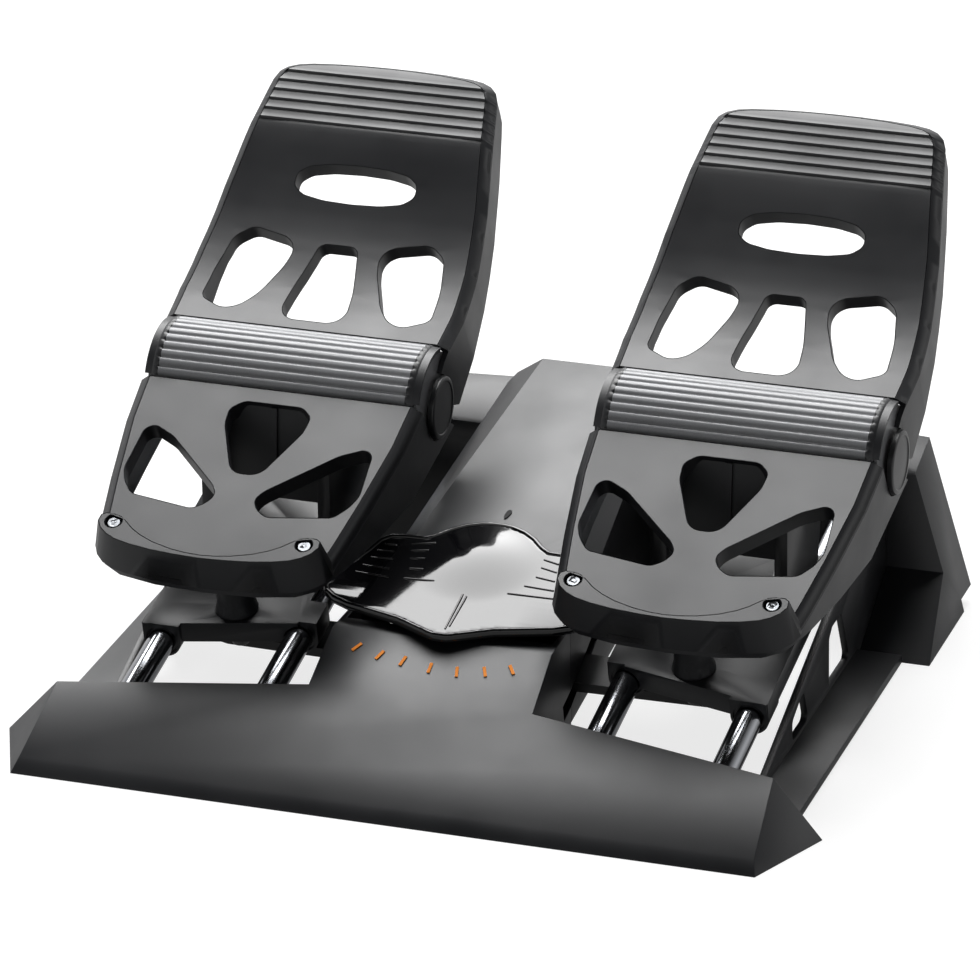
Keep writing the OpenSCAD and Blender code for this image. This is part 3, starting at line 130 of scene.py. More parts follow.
HEEL_EDGE = (
    (68.4, 0), (67, -26), (62.6, -60), (58.2, -88), (56.3, -97), (51, -106), (42, -111), (24, -114),
    (0, -115),
)
HEEL_WALL = ((-97.4, -9.7), (-73.9, -19.9), (-40.6, -31.3), (-6.7, -41.2), (0, -42))
HEEL_CENTRE = ((14, -8.6), (19.5, -14), (18.7, -23.5), (8, -48.5), (4, -51.5))
HEEL_SIDE = (
    (50.6, -28.9), (54.7, -31.7), (56.3, -56.3), (53.7, -63.5), (48.2, -70.7), (17.8, -75.2), (12.2, -71.2),
    (9.5, -65.8), (12.2, -60.5), (40, -34.5),
)
HEEL_CORNER, HEEL_FLARE = 2.3, 1.0
# Web inside the heel plate: its upper and lower end, then the width and thickness of its wall and its ridge
WEB_TOP, WEB_LOW = Vector((-7.6, -2.6)), Vector((-29.0, -40.0))
WEB_PARTS = ((54.0, 2.0), (3.0, 5.0))

# Middle of the axle as seen from each seam, and the cap's radius with the room around it
TOE_CAP, HEEL_CAP = (-21.8, -18.2), (19.4, -20.7)
CAP_ROOM, CAP_R = 15.5, 14.8


def arc(centre, radius, first, last, count):
    """Points along an arc, in degrees."""
    turns = [math.radians(first + (last - first) * i / (count - 1)) for i in range(count)]
    return [(centre[0] + radius * math.cos(a), centre[1] + radius * math.sin(a)) for a in turns]


# Front edge of the toe plate's side wall and rear edge of the heel plate's, around the cap
TOE_COLUMN = [(-5, -6.4), *arc(TOE_CAP, CAP_ROOM, 39.9, -54.7, 9), (-3.7, -43.5)]
HEEL_COLUMN = [(1.8, -9), (3.2, -15), *arc(HEEL_CAP, CAP_ROOM, 180, 290, 9), (31, -45)]

# Heel stop: levels of its top and foot, its screw holes, its outline, the bay behind it and its rim
STOP_HEIGHT, STOP_LOW = 11.0, -5.4
STOP_HOLE, STOP_BORE, STOP_SINK = (45.2, -97.2), 3.9, 4.0
STOP_EDGE = (
    (38.6, -97.0), (42, -94.2), (46.2, -93.0), (50, -92.9), (52.1, -94.3), (52.5, -97.9), (50.2, -101.8),
    (46.5, -105.0), (41.4, -107.5), (34, -109.4), (24, -111.0), (11, -112.1), (0, -112.5),
)
STOP_BAY = ((35, -100.2), (30.4, -103.1), (23.5, -106.2), (14.5, -108.7), (7, -109.9), (0, -110.3))
STOP_ROUND = ((0.15, 0.3), (0.3, 0.1))
# Its front wall splays: share of the width, and how far forward, which grows between two places
STOP_WIDEN, STOP_LEAN, STOP_LEAN_SPAN = 1.08, 3.6, (-93.0, -107.0)

# Screw heads in the heel stop: radius and level that hold their points, and their new share of width
HEAD_ROOM, HEAD_LOW, HEAD_SHARE = 4.0, 7.0, 0.76
# Points this near the middle and this low are the socket's floor, which goes down to a new level
SOCKET_ROOM, SOCKET_MOUTH, SOCKET_FLOOR = 2.0, 9.0, 7.3
# Faces this near the middle and this low take the black rubber finish, as painted shade in the socket's hollow
SOCKET_SHADE_R, SOCKET_SHADE_TOP = 1.45, 9.9

# Axle caps: place of the disc and its steps in and up, its wall, and the boss behind it
CAP_AT, CAP_WALL = 67.0, 1.2
CAP_STEPS = ((0.05, 1.7), (0.3, 0.6), (0.7, 0.35), (1.2, 0), (0.5, -0.4), (6, 0.15))
BOSS_AT, BOSS_R, BOSS_LENGTH = 63.0, 8.0, 6.0

# Knuckle: the ribs run from the first angle to the second, and the skirt on to the third, in degrees
KNUCKLE_FROM, KNUCKLE_TO, KNUCKLE_LAST = 75.6, 156.4, 182.0
KNUCKLE_RIBS, KNUCKLE_STEPS, KNUCKLE_GROOVE = 9, 8, 1.2
# Share of the groove's depth at each step from one groove to the next
RIB_SHARES = (1, 0.42, 0.06, 0, 0, 0.02, 0.12, 0.55)
# Half of the drum's section out to its rounded end: distance from the middle, and radius past the drum's
DRUM_SECTION = ((59.8, 0), (60.9, 0), (62.5, -0.4), (63.7, -1.3), (64.5, -2.6), (64.7, -4))
DRUM_RIBBED, DRUM_SKIN = 60.0, 2.0
# Plain lip beside each end: its line across with radii, and its sweep
END_LIP, END_LIP_SWEEP, END_LIP_STEPS = ((62, 27.8), (66.3, 27.4)), 80.0, 20
# The plain skirt starts under the last rib, so that no gap opens when the toe plate tilts
SKIRT_R, SKIRT_HALF, SKIRT_LAP, SKIRT_STEPS = 25.6, 63.0, 12.0, 12
# Faces in front of this, seen from the axle, have the finish of the shell
SKIRT_FRONT = -26.2
END_DISC_AT, END_DISC_R, END_DISC_THICK = 64.3, 25.5, 1.4

# Rocker cover: drawn across and along the rails from the pivot, and up from the cover's underside
PIVOT_Y, RAIL_Z, RAIL_SLOPE = 134.0, 30.2, 12.0
COVER_EDGE = (
    (3, -43.1), (6, -42.1), (23, -34.9), (48, -29.0), (56, -25.4), (61, -21.2), (63.6, -16.5), (63.8, -11),
    (61.8, -4), (55.5, 6), (52, 14), (49.5, 21.5), (45.5, 25.6), (38, 26.9), (29.6, 27.2), (24.9, 31),
    (20.6, 35.6), (14.5, 40), (7.6, 42.8), (2.5, 43.5),
)
COVER_THICK, COVER_WALL, DOME_AT, DOME_R, DOME_H = 3.4, 3.0, 14.0, 31.0, 3.6
COVER_BEAD = ((0.5, 0.5), (0.7, 0.35), (0.6, -0.1), (0.45, -0.75), (0.7, 0.25))
# Everything above this level is the cover's top, which is cut this often to take the dome
COVER_TOP, COVER_CUT = -0.5, 2
# Slanted ridges on the wings and the pointer in front: both ends, each across and along
RIDGE_R, RIDGE_LIFT = 0.5, 0.25
RIDGES = (
    ((-51.9, -5.0), (-35.7, -6.3)), ((-50.4, 0.5), (-37.4, -0.2)), ((-48.7, 6.7), (-38.3, 7.2)),
    ((-47.6, 12.4), (-39.6, 12.4)), ((-45.6, 17.2), (-40.1, 17.6)),
    ((-28.9, -5.3), (-14.6, -5.1)), ((-28.9, 2.2), (-22.2, 2.3)), ((-31.1, 9.8), (-24, 10.1)),
    ((-32.5, 15.3), (-24.6, 16.5)), ((-33.8, 20.2), (-23.2, 22.4)),
    ((28.7, 20.6), (36.2, 18.5)), ((29.4, 14.6), (37.2, 12.5)), ((29.2, 7.4), (38.4, 5.9)),
    ((26.1, 0), (40.1, -0.9)), ((20.4, -6.9), (41.5, -6.6)),
    ((1.2, -12), (1.4, -37.6)), ((3.2, -13), (2.7, -35.3)),
)

# Pointer on the spine, drawn forward out of the round mark: share of width, slant, stretch and slope
POINTER_SLIM, POINTER_SLANT, POINTER_STRETCH, POINTER_SLOPE = 0.7, 0.35, 1.6, Vector((1.0, 0.2))

# Moulded pieces that get rounded edges; the hem of the outer ones hides the rubber feet
BASE_MOULDINGS = ("front_cover", "spine_cover", "rear_cover", "left_side_frame", "right_side_frame")
PEDAL_MOULDINGS = ("carriage", "post", "tower")
SKIRTED = ("front_cover", "rear_cover", "left_side_frame", "right_side_frame")
# Level below which a vertex belongs to the hem, just over the feet's height, and the hem's new level
HEM_FOUND, HEM_LEVEL = 1.4, 0.15


# Finishes


def linear(code):
    """A colour written as sRGB hex, as the linear colour that shaders take."""
    parts = [int(code[i : i + 2], 16) / 255 for i in (1, 3, 5)]
    return [p / 12.92 if p <= 0.04045 else ((p + 0.055) / 1.055) ** 2.4 for p in parts] + [1.0]


def shaded(colour, share):
    """A linear colour made darker or lighter."""
    return [part * share for part in colour[:3]] + [1.0]


def pattern_scale(width):
    """Scale of a pattern with cells of this width, in millimetres."""
    return 1 / (width * MM)


def add(material, kind, settings=None, links=None):
    """Adds a node with its settings; links maps an input to the output that feeds it."""
    made = material.node_tree.nodes.new(kind)
    for key, value in (settings or {}).items():
        if isinstance(key, str) and hasattr(made, key):
            setattr(made, key, value)
        else:
            made.inputs[key].default_value = value
    for key, source in (links or {}).items():
        material.node_tree.links.new(source, made.inputs[key])
    return made


def bare(name):
    """A new material without nodes."""
    material = bpy.data.materials.new(name)
    material.use_nodes = True
    material.node_tree.nodes.clear()
    return material


def finish(material, surface):
    """Gives the material its surface shader and hands it back."""
    add(material, "ShaderNodeOutputMaterial", links={"Surface": surface.outputs[0]})
    return material


def moulded_abs(name, colour, roughness, grain, depth=0.03 * MM, worn=0.12):
    """ABS moulded in a spark-eroded tool: a fine grain breaks the highlight, and handling polishes patches.

    The grain is drawn coarser than the real one, so that it shows.
    """
    m = bare(name)
    place = add(m, "ShaderNodeTexCoord").outputs["Object"]
    speckle = add(m, "ShaderNodeTexNoise", {"Scale": 1 / grain, "Detail": 3.0, "Roughness": 0.6},
        {"Vector": place})
    patches = add(m, "ShaderNodeTexNoise",
        {"Scale": pattern_scale(55.56), "Detail": 4.0, "Roughness": 0.55}, {"Vector": place})
    tone = add(m, "ShaderNodeValToRGB", links={"Fac": speckle.outputs["Fac"]})
    dark, light = tone.color_ramp.elements
    dark.position, light.position = 0.3, 0.7
    dark.color, light.color = shaded(colour, 0.86), shaded(colour, 1.14)
    gloss = add(m, "ShaderNodeMapRange", {"From Min": 0.3, "From Max": 0.7,
        "To Min": roughness - worn / 2, "To Max": roughness + worn / 2}, {"Value": patches.outputs["Fac"]})
    bump = add(m, "ShaderNodeBump", {"Strength": 0.5, "Distance": depth},
        {"Height": speckle.outputs["Fac"]})
    plastic = add(m, "ShaderNodeBsdfPrincipled", {"IOR": 1.54, "Specular IOR Level": 0.4},
        {"Base Color": tone.outputs["Color"], "Roughness": gloss.outputs["Result"],
        "Normal": bump.outputs["Normal"]})
    return finish(m, plastic)


def polished_abs(name, colour):
    """ABS from a mirror-polished tool: black and glossy, with the faintest waviness and hairline scuffs."""
    m = bare(name)
    place = add(m, "ShaderNodeTexCoord").outputs["Object"]
    waves = add(m, "ShaderNodeTexNoise", {"Scale": pattern_scale(25.0), "Detail": 1.0}, {"Vector": place})
    scuffs = add(m, "ShaderNodeTexNoise",
        {"Scale": pattern_scale(1.111), "Detail": 4.0, "Distortion": 1.5}, {"Vector": place})
    gloss = add(m, "ShaderNodeMapRange",
        {"From Min": 0.35, "From Max": 0.75, "To Min": 0.05, "To Max": 0.13},
        {"Value": scuffs.outputs["Fac"]})
    bump = add(m, "ShaderNodeBump", {"Strength": 0.15, "Distance": 0.2 * MM},
        {"Height": waves.outputs["Fac"]})
    plastic = add(m, "ShaderNodeBsdfPrincipled",
        {"Base Color": colour, "IOR": 1.54, "Specular IOR Level": 0.4},
        {"Roughness": gloss.outputs["Result"], "Normal": bump.outputs["Normal"]})
    return finish(m, plastic)


def smoked_chrome(name, colour, roughness=0.14):
    """Hard-chromed steel rod, centreless ground: dark mirror with fine rings around it, drawn coarse."""
    m = bare(name)
    place = add(m, "ShaderNodeTexCoord").outputs["Object"]
    around, along = pattern_scale(16.67), pattern_scale(0.25)
    stretch = add(m, "ShaderNodeMapping", {"Scale": (around, along, around)}, {"Vector": place})
    rings = add(m, "ShaderNodeTexNoise", {"Scale": 1.0, "Detail": 2.0},
        {"Vector": stretch.outputs["Vector"]})
    gloss = add(m, "ShaderNodeMapRange", {"From Min": 0.3, "From Max": 0.7,
        "To Min": roughness * 0.6, "To Max": roughness * 1.5}, {"Value": rings.outputs["Fac"]})
    bump = add(m, "ShaderNodeBump", {"Strength": 0.1, "Distance": 0.02 * MM},
        {"Height": rings.outputs["Fac"]})
    metal = add(m, "ShaderNodeBsdfPrincipled", {"Base Color": colour, "Metallic": 1.0},
        {"Roughness": gloss.outputs["Result"], "Normal": bump.outputs["Normal"]})
    return finish(m, metal)


def turned_steel(name, colour, roughness=0.3):
    """Plain turned and zinc-plated steel: dull metal with tool marks, drawn coarse to show."""
    m = bare(name)
    place = add(m, "ShaderNodeTexCoord").outputs["Object"]
    marks = add(m, "ShaderNodeTexNoise", {"Scale": pattern_scale(0.6667), "Detail": 3.0},
        {"Vector": place})
    gloss = add(m, "ShaderNodeMapRange", {"From Min": 0.3, "From Max": 0.7,
        "To Min": roughness * 0.8, "To Max": roughness * 1.3}, {"Value": marks.outputs["Fac"]})
    bump = add(m, "ShaderNodeBump", {"Strength": 0.2, "Distance": 0.03 * MM},
        {"Height": marks.outputs["Fac"]})
    metal = add(m, "ShaderNodeBsdfPrincipled", {"Base Color": colour, "Metallic": 1.0},
        {"Roughness": gloss.outputs["Result"], "Normal": bump.outputs["Normal"]})
    return finish(m, metal)


def moulded_rubber(name, colour):
    """Black rubber with a dull, slightly dusty skin."""
    m = bare(name)
    place = add(m, "ShaderNodeTexCoord").outputs["Object"]
    skin = add(m, "ShaderNodeTexNoise", {"Scale": pattern_scale(1.4286), "Detail": 5.0},
        {"Vector": place})
    bump = add(m, "ShaderNodeBump", {"Strength": 0.4, "Distance": 0.05 * MM},
        {"Height": skin.outputs["Fac"]})
    gloss = add(m, "ShaderNodeMapRange", {"To Min": 0.7, "To Max": 0.9}, {"Value": skin.outputs["Fac"]})
    rubber = add(m, "ShaderNodeBsdfPrincipled", {"Base Color": colour, "IOR": 1.5},
        {"Roughness": gloss.outputs["Result"], "Normal": bump.outputs["Normal"]})
    return finish(m, rubber)


def printed_ink(name, colour):
    """Pad-printed ink: matte, with slightly uneven cover."""
    m = bare(name)
    place = add(m, "ShaderNodeTexCoord").outputs["Object"]
    cover = add(m, "ShaderNodeTexNoise", {"Scale": pattern_scale(0.8333), "Detail": 2.0},
        {"Vector": place})
    tone = add(m, "ShaderNodeValToRGB", links={"Fac": cover.outputs["Fac"]})
    thin, full = tone.color_ramp.elements
    thin.color, full.color = shaded(colour, 0.85), colour
    ink = add(m, "ShaderNodeBsdfPrincipled", {"Roughness": 0.5, "IOR": 1.5, "Specular IOR Level": 0.15},
        {"Base Color": tone.outputs["Color"]})
    return finish(m, ink)


def green_board(name, mask_colour, weave_colour):
    """Glass-epoxy circuit board under solder mask: the weave shows faintly."""
    m = bare(name)
    place = add(m, "ShaderNodeTexCoord").outputs["Object"]
    weave = add(m, "ShaderNodeTexChecker",
        {"Scale": pattern_scale(0.625), "Color1": mask_colour, "Color2": weave_colour}, {"Vector": place})
    mask = add(m, "ShaderNodeBsdfPrincipled", {"Roughness": 0.25, "IOR": 1.5},
        {"Base Color": weave.outputs["Color"]})
    return finish(m, mask)


# Shaping


def scene_object(name, bm, materials, smooth_angle=35.0):
    """Turns a bmesh into a finished object at the origin."""
    mesh = bpy.data.meshes.new(name)
    bm.to_mesh(mesh)
    bm.free()
    mesh.shade_smooth()
    mesh.set_sharp_from_angle(angle=math.radians(smooth_angle))
    made = bpy.data.objects.new(name, mesh)
    bpy.context.scene.collection.objects.link(made)
    for material in materials:
        mesh.materials.append(material)
    return made


def merged_copy(node):
    """A CAD node's mesh with its loose triangles joined and its flat faces made whole."""
    bm = bmesh.new()
    bm.from_mesh(frame["nodes"][node].data)
    bmesh.ops.remove_doubles(bm, verts=bm.verts, dist=2e-6)
    bmesh.ops.dissolve_degenerate(bm, edges=bm.edges, dist=2e-6)
    bmesh.ops.dissolve_limit(bm, angle_limit=math.radians(0.6), verts=bm.verts, edges=bm.edges,
        use_dissolve_boundaries=False)
    for face in bm.faces:
        face.material_index = 0
    return bm


def round_edges(bm, width, angle=30.0):
    """Bevels every edge that is sharper than the angle."""
    sharp = [e for e in bm.edges if len(e.link_faces) == 2 and e.calc_face_angle(0) > math.radians(angle)]
    bmesh.ops.bevel(bm, geom=sharp, offset=width, offset_type="OFFSET", segments=2, profile=0.5,
        affect="EDGES", clamp_overlap=True, material=-1)


def seam_place(side, angle, slope):
    """Place of a plate's own axes: on the knuckle's rim at an angle about the axle, turned by its slope."""
    rim = KNUCKLE_R * MM * Vector((0, math.cos(math.radians(angle)), math.sin(math.radians(angle))))
    turned = Matrix.Rotation(math.radians(slope), 4, "X")
    return Matrix.Translation(AXLE[side] + rim) @ turned @ Matrix.Scale(MM, 4)


def mirrored(half):
    """A whole outline from its right half, which runs from the open end to the middle of the closed one."""
    inner = [p for p in half if abs(p[0]) > 0.01]
    ends = [p for p in half if abs(p[0]) <= 0.01]
    return inner + ends + [(-x, s) for x, s in reversed(inner)]


def other_side(points):
    """The same outline on the other side of the middle."""
    return [(-x, s) for x, s in reversed(points)]


def flat_face(bm, points, height=0.0, corner=0.0):
    """A face from outline points, with its corners rounded, facing up."""
    others = set(bm.faces)
    face = bm.faces.new([bm.verts.new((x, s, height)) for x, s in points])
    face.normal_update()
    if face.normal.z < 0:
        face.normal_flip()
    if corner:
        bmesh.ops.bevel(bm, geom=face.verts[:] + face.edges[:], offset=corner, offset_type="OFFSET",
            segments=5, profile=0.5, affect="VERTICES", clamp_overlap=True, material=-1)
        face = next(f for f in bm.faces if f not in others)
        face.normal_update()
    return face


def steps_in(bm, face, steps):
    """Insets a face several times; each step gives how far in and how far up."""
    for inward, up in steps:
        bmesh.ops.inset_region(bm, faces=[face], thickness=inward, depth=up, use_even_offset=True,
            use_boundary=True)


def fill_around(bm, face, holes):
    """Replaces a face by one with holes, and returns the edges of each hole."""
    outer = list(face.edges)
    rims = [list(hole.edges) for hole in holes]
    left = face.calc_area() - sum(hole.calc_area() for hole in holes)
    bmesh.ops.delete(bm, geom=[face, *holes], context="FACES_KEEP_BOUNDARY")
    filled = bmesh.ops.triangle_fill(bm, use_beauty=True, use_dissolve=False,
        edges=outer + [e for rim in rims for e in rim])
    faces = [g for g in filled["geom"] if isinstance(g, bmesh.types.BMFace)]
    for f in faces:
        f.normal_update()
        if f.normal.z < 0:
            f.normal_flip()
    if abs(sum(f.calc_area() for f in faces) - left) > 0.01 * left:
        raise RuntimeError("the face around the windows didn't fill")
    return rims


def drop_edges(bm, edges, depth):
    """Extrudes open edges straight down and returns the new vertices."""
    made = bmesh.ops.extrude_edge_only(bm, edges=edges)
    fresh = [g for g in made["geom"] if isinstance(g, bmesh.types.BMVert)]
    bmesh.ops.translate(bm, verts=fresh, vec=(0, 0, -depth))
    return fresh


def soften(bm, faces, steps):
    """Rounds the rim of a flat region: each step gives how far in it starts and how far down it sinks."""
    rings = []
    for inward, down in steps:
        region = set(faces)
        rim = [e for f in faces for e in f.edges if sum(g in region for g in e.link_faces) == 1]
        rings.append(({v for e in rim for v in e.verts}, down))
        bmesh.ops.inset_region(bm, faces=faces, thickness=inward, depth=0, use_even_offset=True,
            use_boundary=True)
    for ring, down in rings:
        for v in ring:
            v.co.z -= down


def at(table, s):
    """Value of a table of (s, value) rows, straight between rows."""
    rows = sorted(table)
    for (s0, v0), (s1, v1) in zip(rows, rows[1:]):
        if s <= s1:
            return v0 + (v1 - v0) * max(0.0, s - s0) / (s1 - s0)
    return rows[-1][1]


def share_between(place, first, last):
    """How far a place has come from the first one to the last, from 0 to 1."""
    return min(1.0, max(0.0, (place - first) / (last - first)))


def cut_across(bm, places):
    """Cuts the mesh at the given distances along the slope, so that it can bend there."""
    for s in places:
        bmesh.ops.bisect_plane(bm, geom=bm.verts[:] + bm.edges[:] + bm.faces[:], dist=1e-4,
            plane_co=(0, s, 0), plane_no=(0, 1, 0))


def spun(bm, line, first, last, steps):
    """Spins a line of (across, radius) points about the axle from one angle to another, in degrees."""
    start = math.radians(first)
    verts = [bm.verts.new((x, r * math.cos(start), r * math.sin(start))) for x, r in line]
    edges = [bm.edges.new(pair) for pair in zip(verts, verts[1:])]
    bmesh.ops.spin(bm, geom=verts + edges, cent=(0, 0, 0), axis=(1, 0, 0), dvec=(0, 0, 0),
        angle=math.radians(last - first), steps=steps, use_merge=False, use_normal_flip=False,
        use_duplicate=False)


# Pedal plates: each is drawn flat (x across, s up the slope, n out of the face), then bent and placed


def open_seam(bm, face):
    """Brings the band's ends to the seam line and takes out its faces there."""
    for v in bm.verts:
        if abs(v.co.y) < 2 * BAND_WIDTH:
            v.co.y = 0.0
    closing = [f for f in bm.faces if f is not face and all(v.co.y == 0.0 for v in f.verts)]
    bmesh.ops.delete(bm, geom=closing, context="FACES")


def wall_end(bm, side, column):
    """Bends a side wall's end edge at the seam around the axle cap."""
    edge = next(
        e for e in bm.edges
        if all(v.co.y == 0.0 and v.co.x * side > 60 for v in e.verts)
        and abs(e.verts[0].co.z - e.verts[1].co.z) > 20
    )
    low = min(edge.verts, key=lambda v: v.co.z)
    above = max(edge.verts, key=lambda v: v.co.z)
    for s, n in column[:-1]:
        above = bmesh.utils.edge_split(edge, above, 0.5)[1]
        edge = next(e for e in above.link_edges if low in e.verts)
        above.co.y, above.co.z = s, n
    low.co.y, low.co.z = column[-1]


def plate_shell(outline, windows, wall, column, flare):
    """Shell of a pedal plate: face with windows, a chamfered band and side walls, open at the seam."""
    sizes = bpy.context.scene.pedal_sizes
    skin = sizes.skin / MM
    bm = bmesh.new()
    face = flat_face(bm, mirrored(outline), -BAND_DROP)
    hem = list(face.edges)
    steps_in(bm, face, BAND_STEPS)
    open_seam(bm, face)
    holes = [flat_face(bm, points, 0.0, corner) for points, corner in windows]
    rims = fill_around(bm, face, holes)
    drop_edges(bm, [e for rim in rims for e in rim], sizes.window_depth / MM)
    hem = [e for e in hem if e.is_valid and any(v.co.y != 0.0 for v in e.verts)]
    ledge = set(drop_edges(bm, hem, LEDGE))
    hem = [e for e in bm.edges if e.verts[0] in ledge and e.verts[1] in ledge]
    for v in drop_edges(bm, hem, 0.0):
        v.co.z = at(wall, v.co.y)
        lean = (v.co.z + BAND_DROP) / FLARE_HEIGHT
        v.co.x += math.copysign(flare, v.co.x) * min(1.0, abs(v.co.x) / FLARE_WIDTH) * lean
    for side in (-1, 1):
        wall_end(bm, side, column)
    bmesh.ops.recalc_face_normals(bm, faces=bm.faces)
    if sum(f.normal.z for f in bm.faces if abs(f.calc_center_median().z) < 0.01) < 0:
        bmesh.ops.reverse_faces(bm, faces=bm.faces)
    bmesh.ops.solidify(bm, geom=bm.faces[:], thickness=skin)
    # The ledge's inner corners at the seam are thrown out of the shell, so they go back under the band
    half_width = outline[0][0]
    for v in bm.verts:
        if abs(v.co.x) > half_width + 0.5 and v.co.z > 0:
            v.co = (math.copysign(half_width - skin, v.co.x), 0.0, -BAND_DROP - LEDGE_INSIDE)
    bmesh.ops.recalc_face_normals(bm, faces=bm.faces)
    top = [f for f in bm.faces if f.normal.z > 0.99 and abs(f.calc_center_median().z) < 0.01]
    soften(bm, top, WINDOW_ROUND)
    return bm


def toe_height(s):
    """Height of the toe plate's face up its slope: down through the dip, then up under the ribs."""
    if s <= 0:
        return 0.0
    if s < TOE_FLAT:
        return -at(TOE_DIP_SHARES, s / TOE_FLAT) * TOE_DIP
    return (s - TOE_FLAT) * TOE_RISE


def toe_plate(side):
    """Toe plate: hollow in the middle, six ribs under its arched end."""
    windows = [
        (TOE_OUTER, TOE_OUTER_CORNER), (other_side(TOE_OUTER), TOE_OUTER_CORNER),
        (mirrored(TOE_MIDDLE), TOE_MIDDLE_CORNER), (TOE_LENS, TOE_LENS_CORNER),
    ]
    bm = plate_shell(TOE_EDGE, windows, TOE_WALL, TOE_COLUMN, TOE_FLARE)
    ribs = [RIB_FIRST + RIB_PITCH * i for i in range(RIBS)]
    cut_across(bm, [share * TOE_FLAT for share, dip in TOE_DIP_SHARES])
    cut_across(bm, [share * TOE_FLAT + DIP_CUT for share, dip in TOE_DIP_SHARES[:-1]])
    cut_across(bm, [rib + place for rib in ribs for place, height in RIB_SHAPE])
    cut_across(bm, [LIP_FROM + LIP_CUT * i for i in range(LIP_CUTS)])
    for v in bm.verts:
        s, n = v.co.y, v.co.z
        height = toe_height(s)
        v.co.z += height if height > 0 else height * share_between(n, *DIP_FADE)
        past = max(0.0, s - LIP_FROM)
        v.co.z -= (LIP_TURN * past + LIP_ROLL * past * past) * share_between(n, *LIP_FADE)
        near = min(ribs, key=lambda rib: abs(rib - s))
        if n > -0.01 and abs(s - near) < RIB_SHAPE[-1][0]:
            v.co.z += at(RIB_SHAPE, s - near)
    bm.transform(seam_place(side, TOE_SEAM, TOE_SLOPE))
    return bm


def heel_plate(side):
    """Heel plate: flat, with a centre window, two side windows and a ridged web behind the centre one."""
    outlines = (HEEL_SIDE, other_side(HEEL_SIDE), mirrored(HEEL_CENTRE))
    windows = [(outline, HEEL_CORNER) for outline in outlines]
    bm = plate_shell(HEEL_EDGE, windows, HEEL_WALL, HEEL_COLUMN, HEEL_FLARE)
    run = WEB_LOW - WEB_TOP
    lean = Matrix.Rotation(math.atan2(run.y, run.x), 4, "X")
    web = Matrix.Translation((0, *(WEB_TOP + WEB_LOW) / 2)) @ lean
    for wide, thick in WEB_PARTS:
        bmesh.ops.create_cube(bm, size=1.0, matrix=web @ Matrix.Diagonal((wide, run.length, thick, 1)))
    bm.transform(seam_place(side, HEEL_SEAM, HEEL_SLOPE))
    return bm


def heel_stop(side):
    """Crescent that stops the heel: thin in the middle, its front wall splays, with a screw in each end."""
    bm = bmesh.new()
    front = mirrored(STOP_EDGE)
    face = flat_face(bm, front + mirrored(STOP_BAY)[::-1], STOP_HEIGHT)
    holes = []
    for x in (-STOP_HOLE[0], STOP_HOLE[0]):
        made = bmesh.ops.create_circle(bm, cap_ends=True, segments=24, radius=STOP_BORE,
            matrix=Matrix.Translation((x, STOP_HOLE[1], STOP_HEIGHT)))
        holes.append(made["verts"][0].link_faces[0])
    hem = list(face.edges)
    for rim in fill_around(bm, face, holes):
        bmesh.ops.contextual_create(bm, geom=drop_edges(bm, rim, STOP_SINK))
    low = drop_edges(bm, hem, STOP_HEIGHT - STOP_LOW)
    for v in low:
        if any(abs(v.co.x - x) + abs(v.co.y - s) < 0.01 for x, s in front):
            v.co.x *= STOP_WIDEN
            v.co.y -= STOP_LEAN * share_between(v.co.y, *STOP_LEAN_SPAN)
    bmesh.ops.contextual_create(bm, geom=low)
    bmesh.ops.recalc_face_normals(bm, faces=bm.faces)
    top = [
        f for f in bm.faces
        if abs(f.calc_center_median().z - STOP_HEIGHT) < 0.01 and abs(f.normal.z) > 0.99
    ]
    soften(bm, top, STOP_ROUND)
    bm.transform(seam_place(side, HEEL_SEAM, HEEL_SLOPE))
    return bm


def from_hole(point):
    """A place in the heel stop, measured from the screw hole on its side, with the hole itself."""
    hole = Vector((math.copysign(STOP_HOLE[0], point.x), STOP_HOLE[1]))
    return point.xy - hole, hole


def heel_screws(name, side):
    """The node's screws, with the two heads in the heel stop drawn in, their sockets deep, and painted shade in
    them.
    """
    bm = merged_copy(f"{name}_heel_screws")
    place = seam_place(side, HEEL_SEAM, HEEL_SLOPE)
    bm.transform(place.inverted())
    for v in bm.verts:
        away, hole = from_hole(v.co)
        if away.length < HEAD_ROOM and v.co.z > HEAD_LOW:
            v.co.xy = hole + away * HEAD_SHARE
            if away.length < SOCKET_ROOM and v.co.z < SOCKET_MOUTH:
                v.co.z = SOCKET_FLOOR
    # The socket's walls get the black rubber finish as painted shade; the socket is steel like the rest of the
    # head
    for f in bm.faces:
        middle = f.calc_center_median()
        if from_hole(middle)[0].length < SOCKET_SHADE_R and HEAD_LOW < middle.z < SOCKET_SHADE_TOP:
            f.material_index = 1
    bm.transform(place)
    return bm


def axle_caps(side):
    """A shallow disc with a rounded rim and a sunk middle over each end of the axle, on its boss."""
    bm = bmesh.new()
    for end in (-1, 1):
        disc = bmesh.new()
        made = bmesh.ops.create_circle(disc, cap_ends=True, segments=64, radius=CAP_R,
            matrix=Matrix.Translation((0, 0, CAP_AT)))
        face = made["verts"][0].link_faces[0]
        hem = list(face.edges)
        steps_in(disc, face, CAP_STEPS)
        bmesh.ops.contextual_create(disc, geom=drop_edges(disc, hem, CAP_WALL))
        bmesh.ops.create_cone(disc, cap_ends=True, segments=48, radius1=BOSS_R, radius2=BOSS_R,
            depth=BOSS_LENGTH, matrix=Matrix.Translation((0, 0, BOSS_AT)))
        bmesh.ops.recalc_face_normals(disc, faces=disc.faces)
        disc.transform(Matrix.Rotation(math.radians(90 * end), 4, "Y"))
        spare = bpy.data.meshes.new("spare")
        disc.to_mesh(spare)
        disc.free()
        bm.from_mesh(spare)
        bpy.data.meshes.remove(spare)
    bm.transform(Matrix.Translation(AXLE[side]) @ Matrix.Scale(MM, 4))
    return bm


